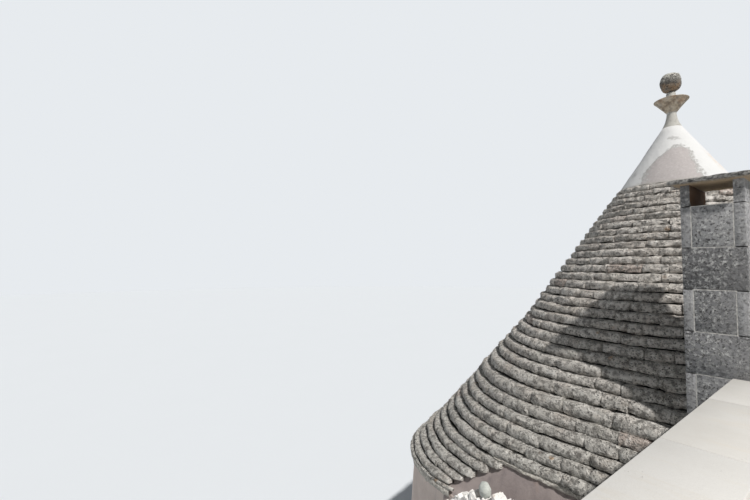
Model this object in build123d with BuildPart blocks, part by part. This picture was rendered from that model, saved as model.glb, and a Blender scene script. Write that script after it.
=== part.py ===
from build123d import *
from math import atan2, degrees
import os

os.makedirs("parts", exist_ok=True)

# Trullo house: a dry-stone room under a slated stone cone, with a flat-roofed wing beside it.
# Millimetres. The origin is on the axis of the cone at ground level, and X and Y run square to the walls.
# The door of the trullo faces -X, and the wing stands on the -Y side, under a terrace.

# Body of the trullo: a square with rounded corners, laid in short straight faces
eave_height = 2490
wall_half = 2750
wall_corner = 1450
wall_batter = 180
room_half = 1700
corner_faces = 6
floor_thickness = 120

# Stone roof: three bands of courses, counted from the eave up
eave_courses = 6
eave_course_height = 86
middle_courses = 11
middle_course_height = 106
upper_courses = 20
upper_course_height = 91
course_lean = 22

# Half width and corner radius of the roof where each band ends
eave_half = 2790
eave_corner = 1450
shoulder_half = 2500
shoulder_corner = 1800
waist_half = 1760
waist_corner = 1690
crown_half = 510
crown_corner = 460

# Corbelled dome inside the roof
dome_spring_half = 1650
dome_throat_half = 260
dome_back_half = 2300
dome_back_top_half = 560
dome_flat = 60
corbel_steps = 13
corbel_height = 210
dry_joint = 0.4
dry_joint_lines = 4
closing_slab_thickness = 130
closing_slab_bearing = 120

# Plaster tip and stone finial
plaster_foot_radius = 545
plaster_height = 713
neck_foot_radius = 104
neck_top_radius = 50
neck_height = 188
neck_hollow = [(0, 0), (0.25, 0.42), (0.6, 0.8), (1, 1)]
dish_foot_radius = 54
dish_radius = 185
dish_rim = 14
dish_height = 177
pad_radius = 54
pad_height = 95
ball_radius = 118
ball_height = 260
ball_outline = [(0, 0.4), (0.08, 0.66), (0.22, 0.9), (0.42, 1), (0.62, 0.98), (0.82, 0.78), (1, 0.4)]
turned_faces = 36

# Front of the trullo, where the lowest courses have gone and the bedding is rendered over
bed_recess = 45
bed_left = -1310
bed_left_step = 96
bed_depth = 420
facing_foot_thickness = 150
facing_top_height = 2930
facing_left = -1410

# Broken upper edge of the facing: distance along from its left end, and drop below its top
facing_edge = [
    (20, 560),
    (150, 370),
    (290, 400),
    (440, 140),
    (560, 190),
    (700, 20),
    (860, 90),
    (1010, 0),
    (1330, 60),
]

# Door of the trullo
door_width = 900
door_head = 2020
jamb_width = 170
jamb_depth = 260
lintel_height = 240
surround_proud = 25
leaf_width = 880
leaf_thickness = 45
leaf_gap = 8

# Chimney of thin stone slabs, which rises from a hearth in the front wall
chimney_left = 600
chimney_width = 380
chimney_depth = 470
chimney_slab = 62
chimney_top = 5410
chimney_head = 170
cap_thickness = 50
cap_overhang = 70
hearth_left = 340
hearth_width = 900
hearth_height = 1150

# Wing under the terrace
wing_left = 930
wing_width = 4000
wing_length = 5140
wing_back = -2200
wing_wall = 450
wing_back_wall = 840
parapet_wall = 300
ceiling_height = 2880
roof_slab_thickness = 460
paving_thickness = 50
coping_top = 4120
coping_thickness = 50
coping_width = 335
coping_overhang = 30
coping_joint = 4
window_width = 800
window_height = 1000
window_sill = 950
window_centre = -4900
window_frame_width = 70
window_frame_depth = 60
glass_thickness = 8
sill_thickness = 60

# Levels and half widths that follow from the sizes above
shoulder_height = eave_height + eave_courses * eave_course_height
waist_height = shoulder_height + middle_courses * middle_course_height
crown_height = waist_height + upper_courses * upper_course_height
wall_face = wall_half + wall_batter
chimney_front = wing_back
chimney_right = chimney_left + chimney_width
chimney_back = chimney_front + chimney_depth
flue_left = chimney_left + chimney_slab
flue_right = chimney_right - chimney_slab
hearth_right = hearth_left + hearth_width
hearth_back_face = chimney_front + chimney_slab
wing_right = wing_left + wing_width
wing_front = wing_back - wing_length
wing_door_centre = wing_left + wing_width / 2
coping_base = coping_top - coping_thickness
dome_top = eave_height + corbel_steps * corbel_height
tall = coping_top + crown_height


def rounded_square(half, corner):
    """Corners of a square with rounded corners, each corner laid in straight faces."""
    points = []
    for quarter in range(4):
        turn = 90 * quarter
        centre = Vector(half - corner, half - corner).rotate(Axis.Z, turn)
        for face in range(corner_faces + 1):
            points.append(centre + Vector(corner, 0).rotate(Axis.Z, turn + 90 * face / corner_faces))
    return [(point.X, point.Y) for point in points]


def between(share, low, high):
    return low + share * (high - low)


def lean_angle(inward, height):
    """Angle, in degrees, of a face that leans inward by so much over its height."""
    return degrees(atan2(inward, height))


def roof_courses():
    """Foot level, height, half width and corner radius of every course, from the eave up."""
    bands = [
        (eave_courses, eave_course_height, eave_half, shoulder_half, eave_corner, shoulder_corner),
        (middle_courses, middle_course_height, shoulder_half, waist_half, shoulder_corner, waist_corner),
        (upper_courses, upper_course_height, waist_half, crown_half, waist_corner, crown_corner),
    ]
    level = eave_height
    courses = []
    for count, height, low_half, high_half, low_corner, high_corner in bands:
        for number in range(count):
            share = number / count
            half = between(share, low_half, high_half)
            corner = between(share, low_corner, high_corner)
            courses.append((level, height, half, corner))
            level += height
    return courses


# Envelopes that shape the pieces and are not pieces themselves

with BuildPart() as wall_envelope:
    with BuildSketch(Plane.XY):
        Polygon(*rounded_square(wall_face, wall_corner + wall_batter), align=None)
    extrude(amount=eave_height, taper=lean_angle(wall_batter, eave_height))

with BuildPart() as surround_envelope:
    with BuildSketch(Plane.XY):
        Polygon(
            *rounded_square(wall_face + surround_proud, wall_corner + wall_batter + surround_proud),
            align=None,
        )
    extrude(amount=eave_height, taper=lean_angle(wall_batter, eave_height))

with BuildPart() as dome_envelope:
    with BuildSketch(Plane.XY.offset(eave_height)):
        Polygon(*rounded_square(dome_back_half, dome_back_half - dome_flat), align=None)
    dome_rise = dome_top - eave_height
    extrude(amount=dome_rise, taper=lean_angle(dome_back_half - dome_back_top_half, dome_rise))

with BuildPart() as wing_envelope:
    with BuildSketch(Plane.XY):
        with Locations((wing_left, wing_back)):
            Rectangle(wing_width, wing_length, align=(Align.MIN, Align.MAX))
    extrude(amount=tall)

with BuildPart() as chimney_envelope:
    with BuildSketch(Plane.XY.offset(eave_height)):
        with Locations((chimney_left, chimney_front)):
            Rectangle(chimney_width, chimney_depth, align=Align.MIN)
    extrude(amount=tall)

# Dry joints, the same for the dome and the roof, which part each round piece into eight
with BuildPart() as joint_blades:
    with BuildSketch(Plane.XY):
        with PolarLocations(0, dry_joint_lines, angular_range=180):
            Rectangle(3 * wall_face, dry_joint)
    extrude(amount=tall)

with BuildPart() as door_surround_block:
    with BuildSketch(Plane.YZ):
        with Locations((0, floor_thickness)):
            Rectangle(
                door_width + 2 * jamb_width,
                door_head - floor_thickness + lintel_height,
                align=(Align.CENTER, Align.MIN),
            )
    extrude(amount=-wall_face - surround_proud)
    with BuildSketch(Plane.YZ.offset(-wall_half - surround_proud + jamb_depth)):
        Rectangle(2 * wall_face, 2 * tall)
    extrude(amount=tall, mode=Mode.SUBTRACT)


# Walls of the trullo

wall_pieces = [
    ("back_wall", -wall_face, wall_face, room_half, wall_face, 0, eave_height),
    ("right_wall", room_half, wall_face, -room_half, room_half, 0, eave_height),
    ("front_wall_left", -wall_face, hearth_left, -wall_face, -room_half, 0, eave_height),
    ("front_wall_right", hearth_right, wall_face, -wall_face, -room_half, 0, eave_height),
    ("hearth_back", hearth_left, hearth_right, -wall_face, hearth_back_face, 0, eave_height),
    ("hearth_breast", hearth_left, hearth_right, hearth_back_face, -room_half, hearth_height, eave_height),
    ("door_wall_left", -wall_face, -room_half, door_width / 2, room_half, 0, eave_height),
    ("door_wall_right", -wall_face, -room_half, -room_half, -door_width / 2, 0, eave_height),
    ("wall_over_door", -wall_face, -room_half, -door_width / 2, door_width / 2, door_head, eave_height),
]

for label, left, right, front, back, foot, head in wall_pieces:
    with BuildPart() as wall:
        add(wall_envelope.part)
        with BuildSketch(Plane.XY.offset(foot)):
            with Locations((left, front)):
                Rectangle(right - left, back - front, align=Align.MIN)
        extrude(amount=head - foot, mode=Mode.INTERSECT)
        add(wing_envelope.part, mode=Mode.SUBTRACT)
        add(door_surround_block.part, mode=Mode.SUBTRACT)
        if label == "hearth_breast":
            with BuildSketch(Plane.XY.offset(foot)):
                with Locations((flue_left, hearth_back_face)):
                    Rectangle(
                        flue_right - flue_left,
                        chimney_depth - 2 * chimney_slab,
                        align=Align.MIN,
                    )
            extrude(amount=head - foot, mode=Mode.SUBTRACT)
            with BuildSketch(Plane.XY.offset(foot)):
                with Locations((flue_left, -room_half), (flue_right, -room_half)):
                    Rectangle(dry_joint, 2 * wall_face)
            extrude(amount=head - foot, mode=Mode.SUBTRACT)
    wall.part.label = label
    export_step(wall.part, f"parts/{label}.step")

# The floor runs on into the hearth and out through the doorway
with BuildPart() as trullo_floor:
    with BuildSketch(Plane.XY):
        Rectangle(2 * room_half, 2 * room_half)
        with Locations((hearth_left, hearth_back_face)):
            Rectangle(hearth_width, -room_half - hearth_back_face, align=Align.MIN)
        with Locations((-room_half, 0)):
            Rectangle(wall_face + surround_proud - room_half, door_width, align=(Align.MAX, Align.CENTER))
    extrude(amount=floor_thickness)
    add(surround_envelope.part, mode=Mode.INTERSECT)

trullo_floor.part.label = "trullo_floor"
export_step(trullo_floor.part, "parts/trullo_floor.step")


# Corbelled dome: every ring reaches further in than the one below, and a slab closes the throat

with BuildPart() as corbelled_dome:
    add(dome_envelope.part)
    for step in range(corbel_steps):
        inner_half = between(step / (corbel_steps - 1), dome_spring_half, dome_throat_half)
        with BuildSketch(Plane.XY.offset(eave_height + step * corbel_height)):
            Polygon(*rounded_square(inner_half, inner_half - dome_flat), align=None)
        extrude(amount=corbel_height, mode=Mode.SUBTRACT)
    add(chimney_envelope.part, mode=Mode.SUBTRACT)
    add(joint_blades.part, mode=Mode.SUBTRACT)

corbelled_dome.part.label = "corbelled_dome"
export_step(corbelled_dome.part, "parts/corbelled_dome.step")

with BuildPart() as closing_slab:
    with BuildSketch(Plane.XY.offset(dome_top)):
        Rectangle(
            2 * (dome_throat_half + closing_slab_bearing),
            2 * (dome_throat_half + closing_slab_bearing),
        )
    extrude(amount=closing_slab_thickness)

closing_slab.part.label = "closing_slab"
export_step(closing_slab.part, "parts/closing_slab.step")


# Stone courses of the roof, in six lifts. The lowest stops at the rendered bed on the front,
# and the highest is one block under the plaster.

waist_course = eave_courses + middle_courses
lift_ends = [
    eave_courses,
    eave_courses + middle_courses // 2,
    waist_course,
    waist_course + upper_courses // 3,
    waist_course + 2 * upper_courses // 3,
    waist_course + upper_courses,
]
courses = roof_courses()
lift_start = 0
for lift, lift_end in enumerate(lift_ends, start=1):
    with BuildPart() as roof_lift:
        for level, height, half, corner in courses[lift_start:lift_end]:
            with BuildSketch(Plane.XY.offset(level)):
                Polygon(*rounded_square(half, corner), align=None)
            extrude(amount=height, taper=lean_angle(course_lean, height))
        add(dome_envelope.part, mode=Mode.SUBTRACT)
        add(closing_slab.part, mode=Mode.SUBTRACT)
        add(wing_envelope.part, mode=Mode.SUBTRACT)
        add(chimney_envelope.part, mode=Mode.SUBTRACT)
        if lift < len(lift_ends):
            add(joint_blades.part, mode=Mode.SUBTRACT)
        if lift == 1:
            for number, (level, height, half, corner) in enumerate(courses[:eave_courses]):
                course_end = bed_left + number * bed_left_step
                with BuildSketch(Plane.XY.offset(level)):
                    with Locations((course_end, -dome_back_half)):
                        Rectangle(
                            wing_left - course_end,
                            bed_depth + wall_batter,
                            align=(Align.MIN, Align.MAX),
                        )
                extrude(amount=height, mode=Mode.SUBTRACT)
    label = f"roof_courses_{lift}"
    roof_lift.part.label = label
    export_step(roof_lift.part, f"parts/{label}.step")
    lift_start = lift_end

# Rendered bed left where the lowest courses have gone, stepped down to the left under their broken ends
with BuildPart() as rendered_bed:
    with BuildSketch(Plane.YZ.offset(bed_left)):
        Polygon(
            (-dome_back_half, eave_height),
            (-wall_half + surround_proud, eave_height),
            (-shoulder_half + bed_recess, shoulder_height),
            (-dome_back_half, shoulder_height),
            align=None,
        )
    extrude(amount=wing_left - bed_left)
    for number in range(1, eave_courses):
        with BuildSketch(Plane.XY.offset(eave_height + number * eave_course_height)):
            with Locations((bed_left, -dome_back_half)):
                Rectangle(number * bed_left_step, bed_depth + wall_batter, align=(Align.MIN, Align.MAX))
        extrude(amount=eave_course_height, mode=Mode.SUBTRACT)

rendered_bed.part.label = "rendered_bed"
export_step(rendered_bed.part, "parts/rendered_bed.step")

# Whitewashed rubble facing against the front wall, with its broken upper edge
with BuildPart() as rubble_facing:
    with BuildSketch(Plane.YZ.offset(facing_left)):
        Polygon(
            (-wall_face, 0),
            (-wall_face - facing_foot_thickness, 0),
            (-wall_half - facing_foot_thickness, facing_top_height),
            (-wall_half, facing_top_height),
            (-wall_half, eave_height),
            align=None,
        )
    extrude(amount=wing_left - facing_left)
    with BuildSketch(Plane.XZ) as broken_edge:
        with BuildLine():
            Polyline(
                (facing_left, 0),
                *[(facing_left + run, facing_top_height - drop) for run, drop in facing_edge],
                (wing_left, facing_top_height),
                (wing_left, 0),
                close=True,
            )
        make_face()
    extrude(amount=2 * wall_face, both=True, mode=Mode.INTERSECT)

rubble_facing.part.label = "rubble_facing"
export_step(rubble_facing.part, "parts/rubble_facing.step")


# Plaster tip and finial

neck_level = crown_height + plaster_height
dish_level = neck_level + neck_height
pad_level = dish_level + dish_height
ball_level = pad_level + pad_height

turned_pieces = [
    ("plaster_tip", [(plaster_foot_radius, crown_height), (neck_foot_radius, neck_level)]),
    (
        "finial_neck",
        [
            (between(inward, neck_foot_radius, neck_top_radius), neck_level + up * neck_height)
            for up, inward in neck_hollow
        ],
    ),
    (
        "finial_dish",
        [(dish_foot_radius, dish_level), (dish_radius, pad_level - dish_rim), (dish_radius, pad_level)],
    ),
    ("finial_pad", [(pad_radius, pad_level), (pad_radius, ball_level)]),
    ("finial_ball", [(wide * ball_radius, ball_level + up * ball_height) for up, wide in ball_outline]),
]

# Each is round about the axis, in bands between its radii and levels, and laid in straight faces.
# A band narrows upward from its wide end, and is turned over where that end is its top.
for label, outline in turned_pieces:
    with BuildPart() as turned_piece:
        for (low_radius, low), (high_radius, high) in zip(outline, outline[1:]):
            radius, level = max((low_radius, low), (high_radius, high))
            with BuildSketch(Plane.XY.offset(level), mode=Mode.PRIVATE) as wide_end:
                RegularPolygon(radius, turned_faces, major_radius=False, rotation=180 / turned_faces)
            band = extrude(
                wide_end.sketch,
                amount=high - low,
                taper=lean_angle(abs(low_radius - high_radius), high - low),
                mode=Mode.PRIVATE,
            )
            if level == high:
                band = mirror(band, about=Plane.XY.offset(level), mode=Mode.PRIVATE)
            add(band)

    turned_piece.part.label = label
    export_step(turned_piece.part, f"parts/{label}.step")


# Doors. Both stand open against the inside of their walls, and their surrounds carry the wall over them.

with BuildPart() as door_surround:
    add(door_surround_block.part)
    add(surround_envelope.part, mode=Mode.INTERSECT)
    with BuildSketch(Plane.YZ):
        with Locations((0, floor_thickness)):
            Rectangle(door_width, door_head - floor_thickness, align=(Align.CENTER, Align.MIN))
    extrude(amount=-2 * wall_face, mode=Mode.SUBTRACT)

door_surround.part.label = "door_surround"
export_step(door_surround.part, "parts/door_surround.step")

wing_door_left = wing_door_centre - door_width / 2
wing_door_right = wing_door_centre + door_width / 2
wing_inside_front = wing_front + wing_wall
wing_inside_back = wing_back - wing_back_wall

with BuildPart() as door_leaves:
    with BuildSketch(Plane.XY.offset(floor_thickness + leaf_gap)):
        with Locations((-wall_half - surround_proud + jamb_depth, door_width / 2)):
            Rectangle(leaf_width, leaf_thickness, align=(Align.MIN, Align.MAX))
        with Locations((wing_door_right, wing_inside_front)):
            Rectangle(leaf_width, leaf_thickness, align=Align.MIN)
    extrude(amount=door_head - floor_thickness - 2 * leaf_gap)

door_leaves.part.label = "door_leaves"
export_step(door_leaves.part, "parts/door_leaves.step")


# Chimney: a shaft of four thin slabs, two side slabs that leave its head open at the front and back,
# and a cap

with BuildPart() as chimney_shaft:
    with BuildSketch(Plane.XY.offset(eave_height)):
        with Locations((chimney_left, chimney_front), (chimney_left, chimney_back - chimney_slab)):
            Rectangle(chimney_width, chimney_slab, align=Align.MIN)
        with Locations(
            (chimney_left, hearth_back_face + dry_joint),
            (flue_right, hearth_back_face + dry_joint),
        ):
            Rectangle(chimney_slab, chimney_depth - 2 * chimney_slab - 2 * dry_joint, align=Align.MIN)
    extrude(amount=chimney_top - eave_height)

chimney_shaft.part.label = "chimney_shaft"
export_step(chimney_shaft.part, "parts/chimney_shaft.step")

with BuildPart() as chimney_sides:
    with BuildSketch(Plane.XY.offset(chimney_top)):
        with Locations((chimney_left, chimney_front), (chimney_right - chimney_slab, chimney_front)):
            Rectangle(chimney_slab, chimney_depth, align=Align.MIN)
    extrude(amount=chimney_head)

chimney_sides.part.label = "chimney_sides"
export_step(chimney_sides.part, "parts/chimney_sides.step")

with BuildPart() as chimney_cap:
    with BuildSketch(Plane.XY.offset(chimney_top + chimney_head)):
        with Locations((chimney_left - cap_overhang, chimney_front - cap_overhang)):
            Rectangle(
                chimney_width + 2 * cap_overhang,
                chimney_depth + 2 * cap_overhang,
                align=Align.MIN,
            )
    extrude(amount=cap_thickness)

chimney_cap.part.label = "chimney_cap"
export_step(chimney_cap.part, "parts/chimney_cap.step")


# Wing: four walls, a floor, a roof slab and the paved terrace over it

with BuildPart() as wing_surround_block:
    with BuildSketch(Plane.XZ.offset(-wing_front + surround_proud)):
        with Locations((wing_door_centre, floor_thickness)):
            Rectangle(
                door_width + 2 * jamb_width,
                door_head - floor_thickness + lintel_height,
                align=(Align.CENTER, Align.MIN),
            )
    extrude(amount=-jamb_depth)

wing_wall_pieces = [
    ("wing_left_wall", wing_left, wing_left + wing_wall, wing_inside_front, wing_inside_back, 0),
    ("wing_right_wall", wing_right - wing_wall, wing_right, wing_inside_front, wing_inside_back, 0),
    ("wing_back_wall", wing_left, wing_right, wing_inside_back, wing_back, 0),
    ("wing_front_wall_left", wing_left, wing_door_left, wing_front, wing_inside_front, 0),
    ("wing_front_wall_right", wing_door_right, wing_right, wing_front, wing_inside_front, 0),
    ("wing_wall_over_door", wing_door_left, wing_door_right, wing_front, wing_inside_front, door_head),
]

for label, left, right, front, back, foot in wing_wall_pieces:
    with BuildPart() as wing_wall_piece:
        with BuildSketch(Plane.XY.offset(foot)):
            with Locations((left, front)):
                Rectangle(right - left, back - front, align=Align.MIN)
        extrude(amount=ceiling_height - foot)
        add(wing_surround_block.part, mode=Mode.SUBTRACT)
        if label == "wing_right_wall":
            with BuildSketch(Plane.YZ):
                with Locations((window_centre, window_sill)):
                    Rectangle(window_width, window_height, align=(Align.CENTER, Align.MIN))
            extrude(amount=tall, mode=Mode.SUBTRACT)
    wing_wall_piece.part.label = label
    export_step(wing_wall_piece.part, f"parts/{label}.step")

with BuildPart() as wing_door_surround:
    add(wing_surround_block.part)
    with BuildSketch(Plane.XZ):
        with Locations((wing_door_centre, floor_thickness)):
            Rectangle(door_width, door_head - floor_thickness, align=(Align.CENTER, Align.MIN))
    extrude(amount=2 * wing_length, mode=Mode.SUBTRACT)

wing_door_surround.part.label = "wing_door_surround"
export_step(wing_door_surround.part, "parts/wing_door_surround.step")

with BuildPart() as wing_floor:
    with BuildSketch(Plane.XY):
        with Locations((wing_left + wing_wall, wing_inside_front)):
            Rectangle(
                wing_width - 2 * wing_wall,
                wing_inside_back - wing_inside_front,
                align=Align.MIN,
            )
        with Locations((wing_door_centre, wing_front - surround_proud)):
            Rectangle(door_width, wing_wall + surround_proud, align=(Align.CENTER, Align.MIN))
    extrude(amount=floor_thickness)

wing_floor.part.label = "wing_floor"
export_step(wing_floor.part, "parts/wing_floor.step")

with BuildPart() as window_sill_stone:
    with BuildSketch(Plane.XY.offset(window_sill)):
        with Locations((wing_right + surround_proud, window_centre)):
            Rectangle(wing_wall + surround_proud, window_width, align=(Align.MAX, Align.CENTER))
    extrude(amount=sill_thickness)

window_sill_stone.part.label = "window_sill_stone"
export_step(window_sill_stone.part, "parts/window_sill_stone.step")

frame_plane = Plane.YZ.offset(wing_right - wing_wall / 2)
frame_height = window_height - sill_thickness

with BuildPart() as window_frame:
    with BuildSketch(frame_plane):
        with Locations((window_centre, window_sill + sill_thickness)):
            Rectangle(window_width, frame_height, align=(Align.CENTER, Align.MIN))
        with Locations((window_centre, window_sill + sill_thickness + window_frame_width)):
            Rectangle(
                window_width - 2 * window_frame_width,
                frame_height - 2 * window_frame_width,
                align=(Align.CENTER, Align.MIN),
                mode=Mode.SUBTRACT,
            )
    extrude(amount=window_frame_depth)

window_frame.part.label = "window_frame"
export_step(window_frame.part, "parts/window_frame.step")

with BuildPart() as window_glass:
    with BuildSketch(frame_plane.offset(window_frame_depth / 2)):
        with Locations((window_centre, window_sill + sill_thickness + window_frame_width)):
            Rectangle(
                window_width - 2 * window_frame_width,
                frame_height - 2 * window_frame_width,
                align=(Align.CENTER, Align.MIN),
            )
    extrude(amount=glass_thickness)

window_glass.part.label = "window_glass"
export_step(window_glass.part, "parts/window_glass.step")

with BuildPart() as terrace_parapet:
    with BuildSketch(Plane.XY.offset(ceiling_height)):
        with Locations((wing_left, wing_front)):
            Rectangle(wing_width, wing_length, align=Align.MIN)
        with Locations((wing_left + parapet_wall, wing_front + parapet_wall)):
            Rectangle(
                wing_width - 2 * parapet_wall,
                wing_length - 2 * parapet_wall,
                align=Align.MIN,
                mode=Mode.SUBTRACT,
            )
    extrude(amount=coping_base - ceiling_height)

terrace_parapet.part.label = "terrace_parapet"
export_step(terrace_parapet.part, "parts/terrace_parapet.step")

for label, foot, thickness in [
    ("wing_roof_slab", ceiling_height, roof_slab_thickness),
    ("terrace_paving", ceiling_height + roof_slab_thickness, paving_thickness),
]:
    with BuildPart() as roof_layer:
        with BuildSketch(Plane.XY.offset(foot)):
            with Locations((wing_left + parapet_wall, wing_front + parapet_wall)):
                Rectangle(
                    wing_width - 2 * parapet_wall,
                    wing_length - 2 * parapet_wall,
                    align=Align.MIN,
                )
        extrude(amount=thickness)
    roof_layer.part.label = label
    export_step(roof_layer.part, f"parts/{label}.step")

coping_side_length = wing_length + coping_overhang
coping_end_length = wing_width + 2 * coping_overhang - 2 * coping_width - 2 * coping_joint
coping_end_left = wing_left - coping_overhang + coping_width + coping_joint

with BuildPart() as terrace_coping:
    with BuildSketch(Plane.XY.offset(coping_base)):
        with Locations((wing_left - coping_overhang, wing_back)):
            Rectangle(coping_width, coping_side_length, align=(Align.MIN, Align.MAX))
        with Locations((wing_right + coping_overhang, wing_back)):
            Rectangle(coping_width, coping_side_length, align=(Align.MAX, Align.MAX))
        with Locations((coping_end_left, wing_front - coping_overhang)):
            Rectangle(coping_end_length, coping_width, align=Align.MIN)
        with Locations((coping_end_left, wing_back)):
            Rectangle(coping_end_length, coping_width - coping_overhang, align=(Align.MIN, Align.MAX))
    extrude(amount=coping_thickness)

terrace_coping.part.label = "terrace_coping"
export_step(terrace_coping.part, "parts/terrace_coping.step")
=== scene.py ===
import math
import random

import bmesh
import bpy
from mathutils import Matrix, Vector, noise


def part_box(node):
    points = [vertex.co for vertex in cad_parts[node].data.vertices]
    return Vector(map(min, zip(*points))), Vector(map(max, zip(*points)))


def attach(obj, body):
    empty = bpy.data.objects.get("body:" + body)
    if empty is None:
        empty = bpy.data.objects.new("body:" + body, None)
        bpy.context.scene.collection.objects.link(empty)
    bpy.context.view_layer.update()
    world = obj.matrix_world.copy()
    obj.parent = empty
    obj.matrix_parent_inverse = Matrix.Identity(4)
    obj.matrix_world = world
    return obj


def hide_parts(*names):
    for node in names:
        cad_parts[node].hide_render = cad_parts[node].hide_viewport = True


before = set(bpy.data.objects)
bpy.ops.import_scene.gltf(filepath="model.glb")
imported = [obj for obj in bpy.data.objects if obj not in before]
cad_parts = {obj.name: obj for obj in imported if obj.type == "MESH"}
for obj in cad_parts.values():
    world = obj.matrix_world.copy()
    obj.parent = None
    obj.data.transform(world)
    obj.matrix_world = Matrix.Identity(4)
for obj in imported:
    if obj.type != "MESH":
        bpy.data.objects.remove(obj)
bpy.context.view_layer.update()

up = Vector((0, 0, 1))


# Shader expressions

class Wire:
    # one value in a shader: + - * / on it add Math nodes

    def __init__(self, finish, socket):
        self.finish = finish
        self.socket = socket

    def calc(self, operation, *values):
        return self.finish.node("ShaderNodeMath", {"operation": operation}, dict(enumerate(values)))

    def __add__(self, other):
        return self.calc("ADD", self, other)

    def __sub__(self, other):
        return self.calc("SUBTRACT", self, other)

    def __mul__(self, other):
        return self.calc("MULTIPLY", self, other)

    def __truediv__(self, other):
        return self.calc("DIVIDE", self, other)

    def __rsub__(self, other):
        return self.calc("SUBTRACT", other, self)

    __radd__ = __add__
    __rmul__ = __mul__

    def rise(self, low, high):                      # 0 below low, 1 above high, smooth between
        settings = {"interpolation_type": "SMOOTHSTEP"}
        return self.finish.node("ShaderNodeMapRange", settings, {0: self, 1: low, 2: high})

    def fall(self, low, high):
        return 1 - self.rise(low, high)

    def within(self, low, full, fading, high):      # 1 from full to fading, 0 outside low and high
        return self.rise(low, full) * self.fall(fading, high)


class Finish:
    # one material, with its pattern laid in Object coordinates

    def __init__(self, name, roughness=0.9, metallic=0.0):
        self.material = bpy.data.materials.new(name)
        self.material.use_nodes = True
        self.tree = self.material.node_tree
        self.shader = self.tree.nodes["Principled BSDF"]
        self.shader.inputs["Roughness"].default_value = roughness
        self.shader.inputs["Metallic"].default_value = metallic
        self.place = self.node("ShaderNodeTexCoord", {}, {}, "Object")
        self.x, self.y, self.z = (
            self.node("ShaderNodeSeparateXYZ", {}, {0: self.place}, axis) for axis in range(3))

    def node(self, kind, settings, sockets, result=0):
        made = self.tree.nodes.new(kind)
        for key, value in settings.items():
            setattr(made, key, value)
        for key, value in sockets.items():
            target = made.inputs[key]
            if isinstance(value, Wire):
                self.tree.links.new(value.socket, target)
            elif target.type == "RGBA" and len(value) == 3:
                target.default_value = (*value, 1)
            else:
                target.default_value = value
        return Wire(self, made.outputs[result])

    def noise(self, scale, detail=3.0, rough=0.55, at=None):
        sockets = {"Vector": at or self.place, "Scale": scale, "Detail": detail, "Roughness": rough}
        return self.node("ShaderNodeTexNoise", {}, sockets)

    def cells(self, scale, feature="F1", at=None):
        sockets = {"Vector": at or self.place, "Scale": scale}
        return self.node("ShaderNodeTexVoronoi", {"feature": feature}, sockets)

    def stretched(self, x, y, z):                   # Object coordinates scaled along each axis
        return self.node("ShaderNodeMapping", {}, {"Vector": self.place, "Scale": (x, y, z)})

    def mix(self, factor, first, second, blend="MIX"):
        settings = {"data_type": "RGBA", "blend_type": blend}
        return self.node("ShaderNodeMix", settings, {0: factor, 6: first, 7: second}, 2)

    def mark(self, result="Color"):                 # what the mesh stores for each stone
        return self.node("ShaderNodeAttribute", {"attribute_name": "stone"}, {}, result)

    def tone(self, part=0):
        return self.node("ShaderNodeSeparateColor", {}, {0: self.mark()}, part)

    def feed(self, value, socket):
        self.tree.links.new(value.socket, self.shader.inputs[socket])

    def paint(self, colour, *layers):               # each layer: how much it covers, its colour, its blend
        for cover, *coat in layers:
            colour = self.mix(cover, colour, *coat)
        self.feed(colour, "Base Color")

    def relief(self, height, distance, strength=1.0):
        sockets = {"Height": height, "Distance": distance, "Strength": strength}
        self.feed(self.node("ShaderNodeBump", {}, sockets), "Normal")


# Mesh helpers

def wobble(point, scale, shift=0.0):
    return noise.noise(point * scale + Vector((shift, shift * 0.7, shift * 1.3)))


def linked(name, data):
    thing = bpy.data.objects.new(name, data)
    bpy.context.scene.collection.objects.link(thing)
    return thing


def meshOf(name, bm):
    mesh = bpy.data.meshes.new(name)
    bm.to_mesh(mesh)
    bm.free()
    return mesh


def addPiece(name, bm, finish, slot, *stands, sharp=38):
    mesh = meshOf(name, bm)
    mesh.shade_smooth()
    mesh.set_sharp_from_angle(angle=math.radians(sharp))
    mesh.materials.append(finish.material)
    piece = linked(name, mesh)
    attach(piece, "root")
    if stands:
        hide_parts(*stands)


def stoneMesh():
    # every corner stores lightness, warmth or smoothness, how open it is to light (the roof paints shade where
    # it is low), and whether the face is a fresh break
    bm = bmesh.new()
    bm.verts.layers.float_color.new("stone")
    return bm


def toned(bm, verts, tone):
    marks = bm.verts.layers.float_color["stone"]
    for vert in verts:
        vert[marks] = tone


def faceOut(bm):
    bmesh.ops.recalc_face_normals(bm, faces=bm.faces[:])


def block(bm, low, high, tone=None, bevel=0.004, cuts=0, rough=0.0, scale=12.0):
    # a box with rounded edges; cuts and rough make its faces uneven
    low, high = Vector(low), Vector(high)
    size = high - low
    count = len(bm.verts)
    placing = Matrix.LocRotScale((low + high) / 2, None, size)
    verts = bmesh.ops.create_cube(bm, size=1, matrix=placing)["verts"]
    edges = list({edge for vert in verts for edge in vert.link_edges})
    if cuts:
        bmesh.ops.subdivide_edges(bm, edges=edges, cuts=cuts, use_grid_fill=True)
        bm.verts.ensure_lookup_table()
        edges = list({edge for vert in bm.verts[count:] for edge in vert.link_edges})
        edges = [edge for edge in edges if edge.calc_face_angle(0) > 1]
    if bevel:
        bmesh.ops.bevel(
            bm, geom=edges, offset=min(bevel, min(size) * 0.3), offset_type="OFFSET",
            segments=2, profile=0.5, affect="EDGES", material=-1)
    bm.verts.ensure_lookup_table()
    if rough:
        for vert in bm.verts[count:]:
            vert.co += Vector([wobble(vert.co, scale, axis * 7.3 + 1) for axis in range(3)]) * rough
    if tone:
        toned(bm, bm.verts[count:], tone)


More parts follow.
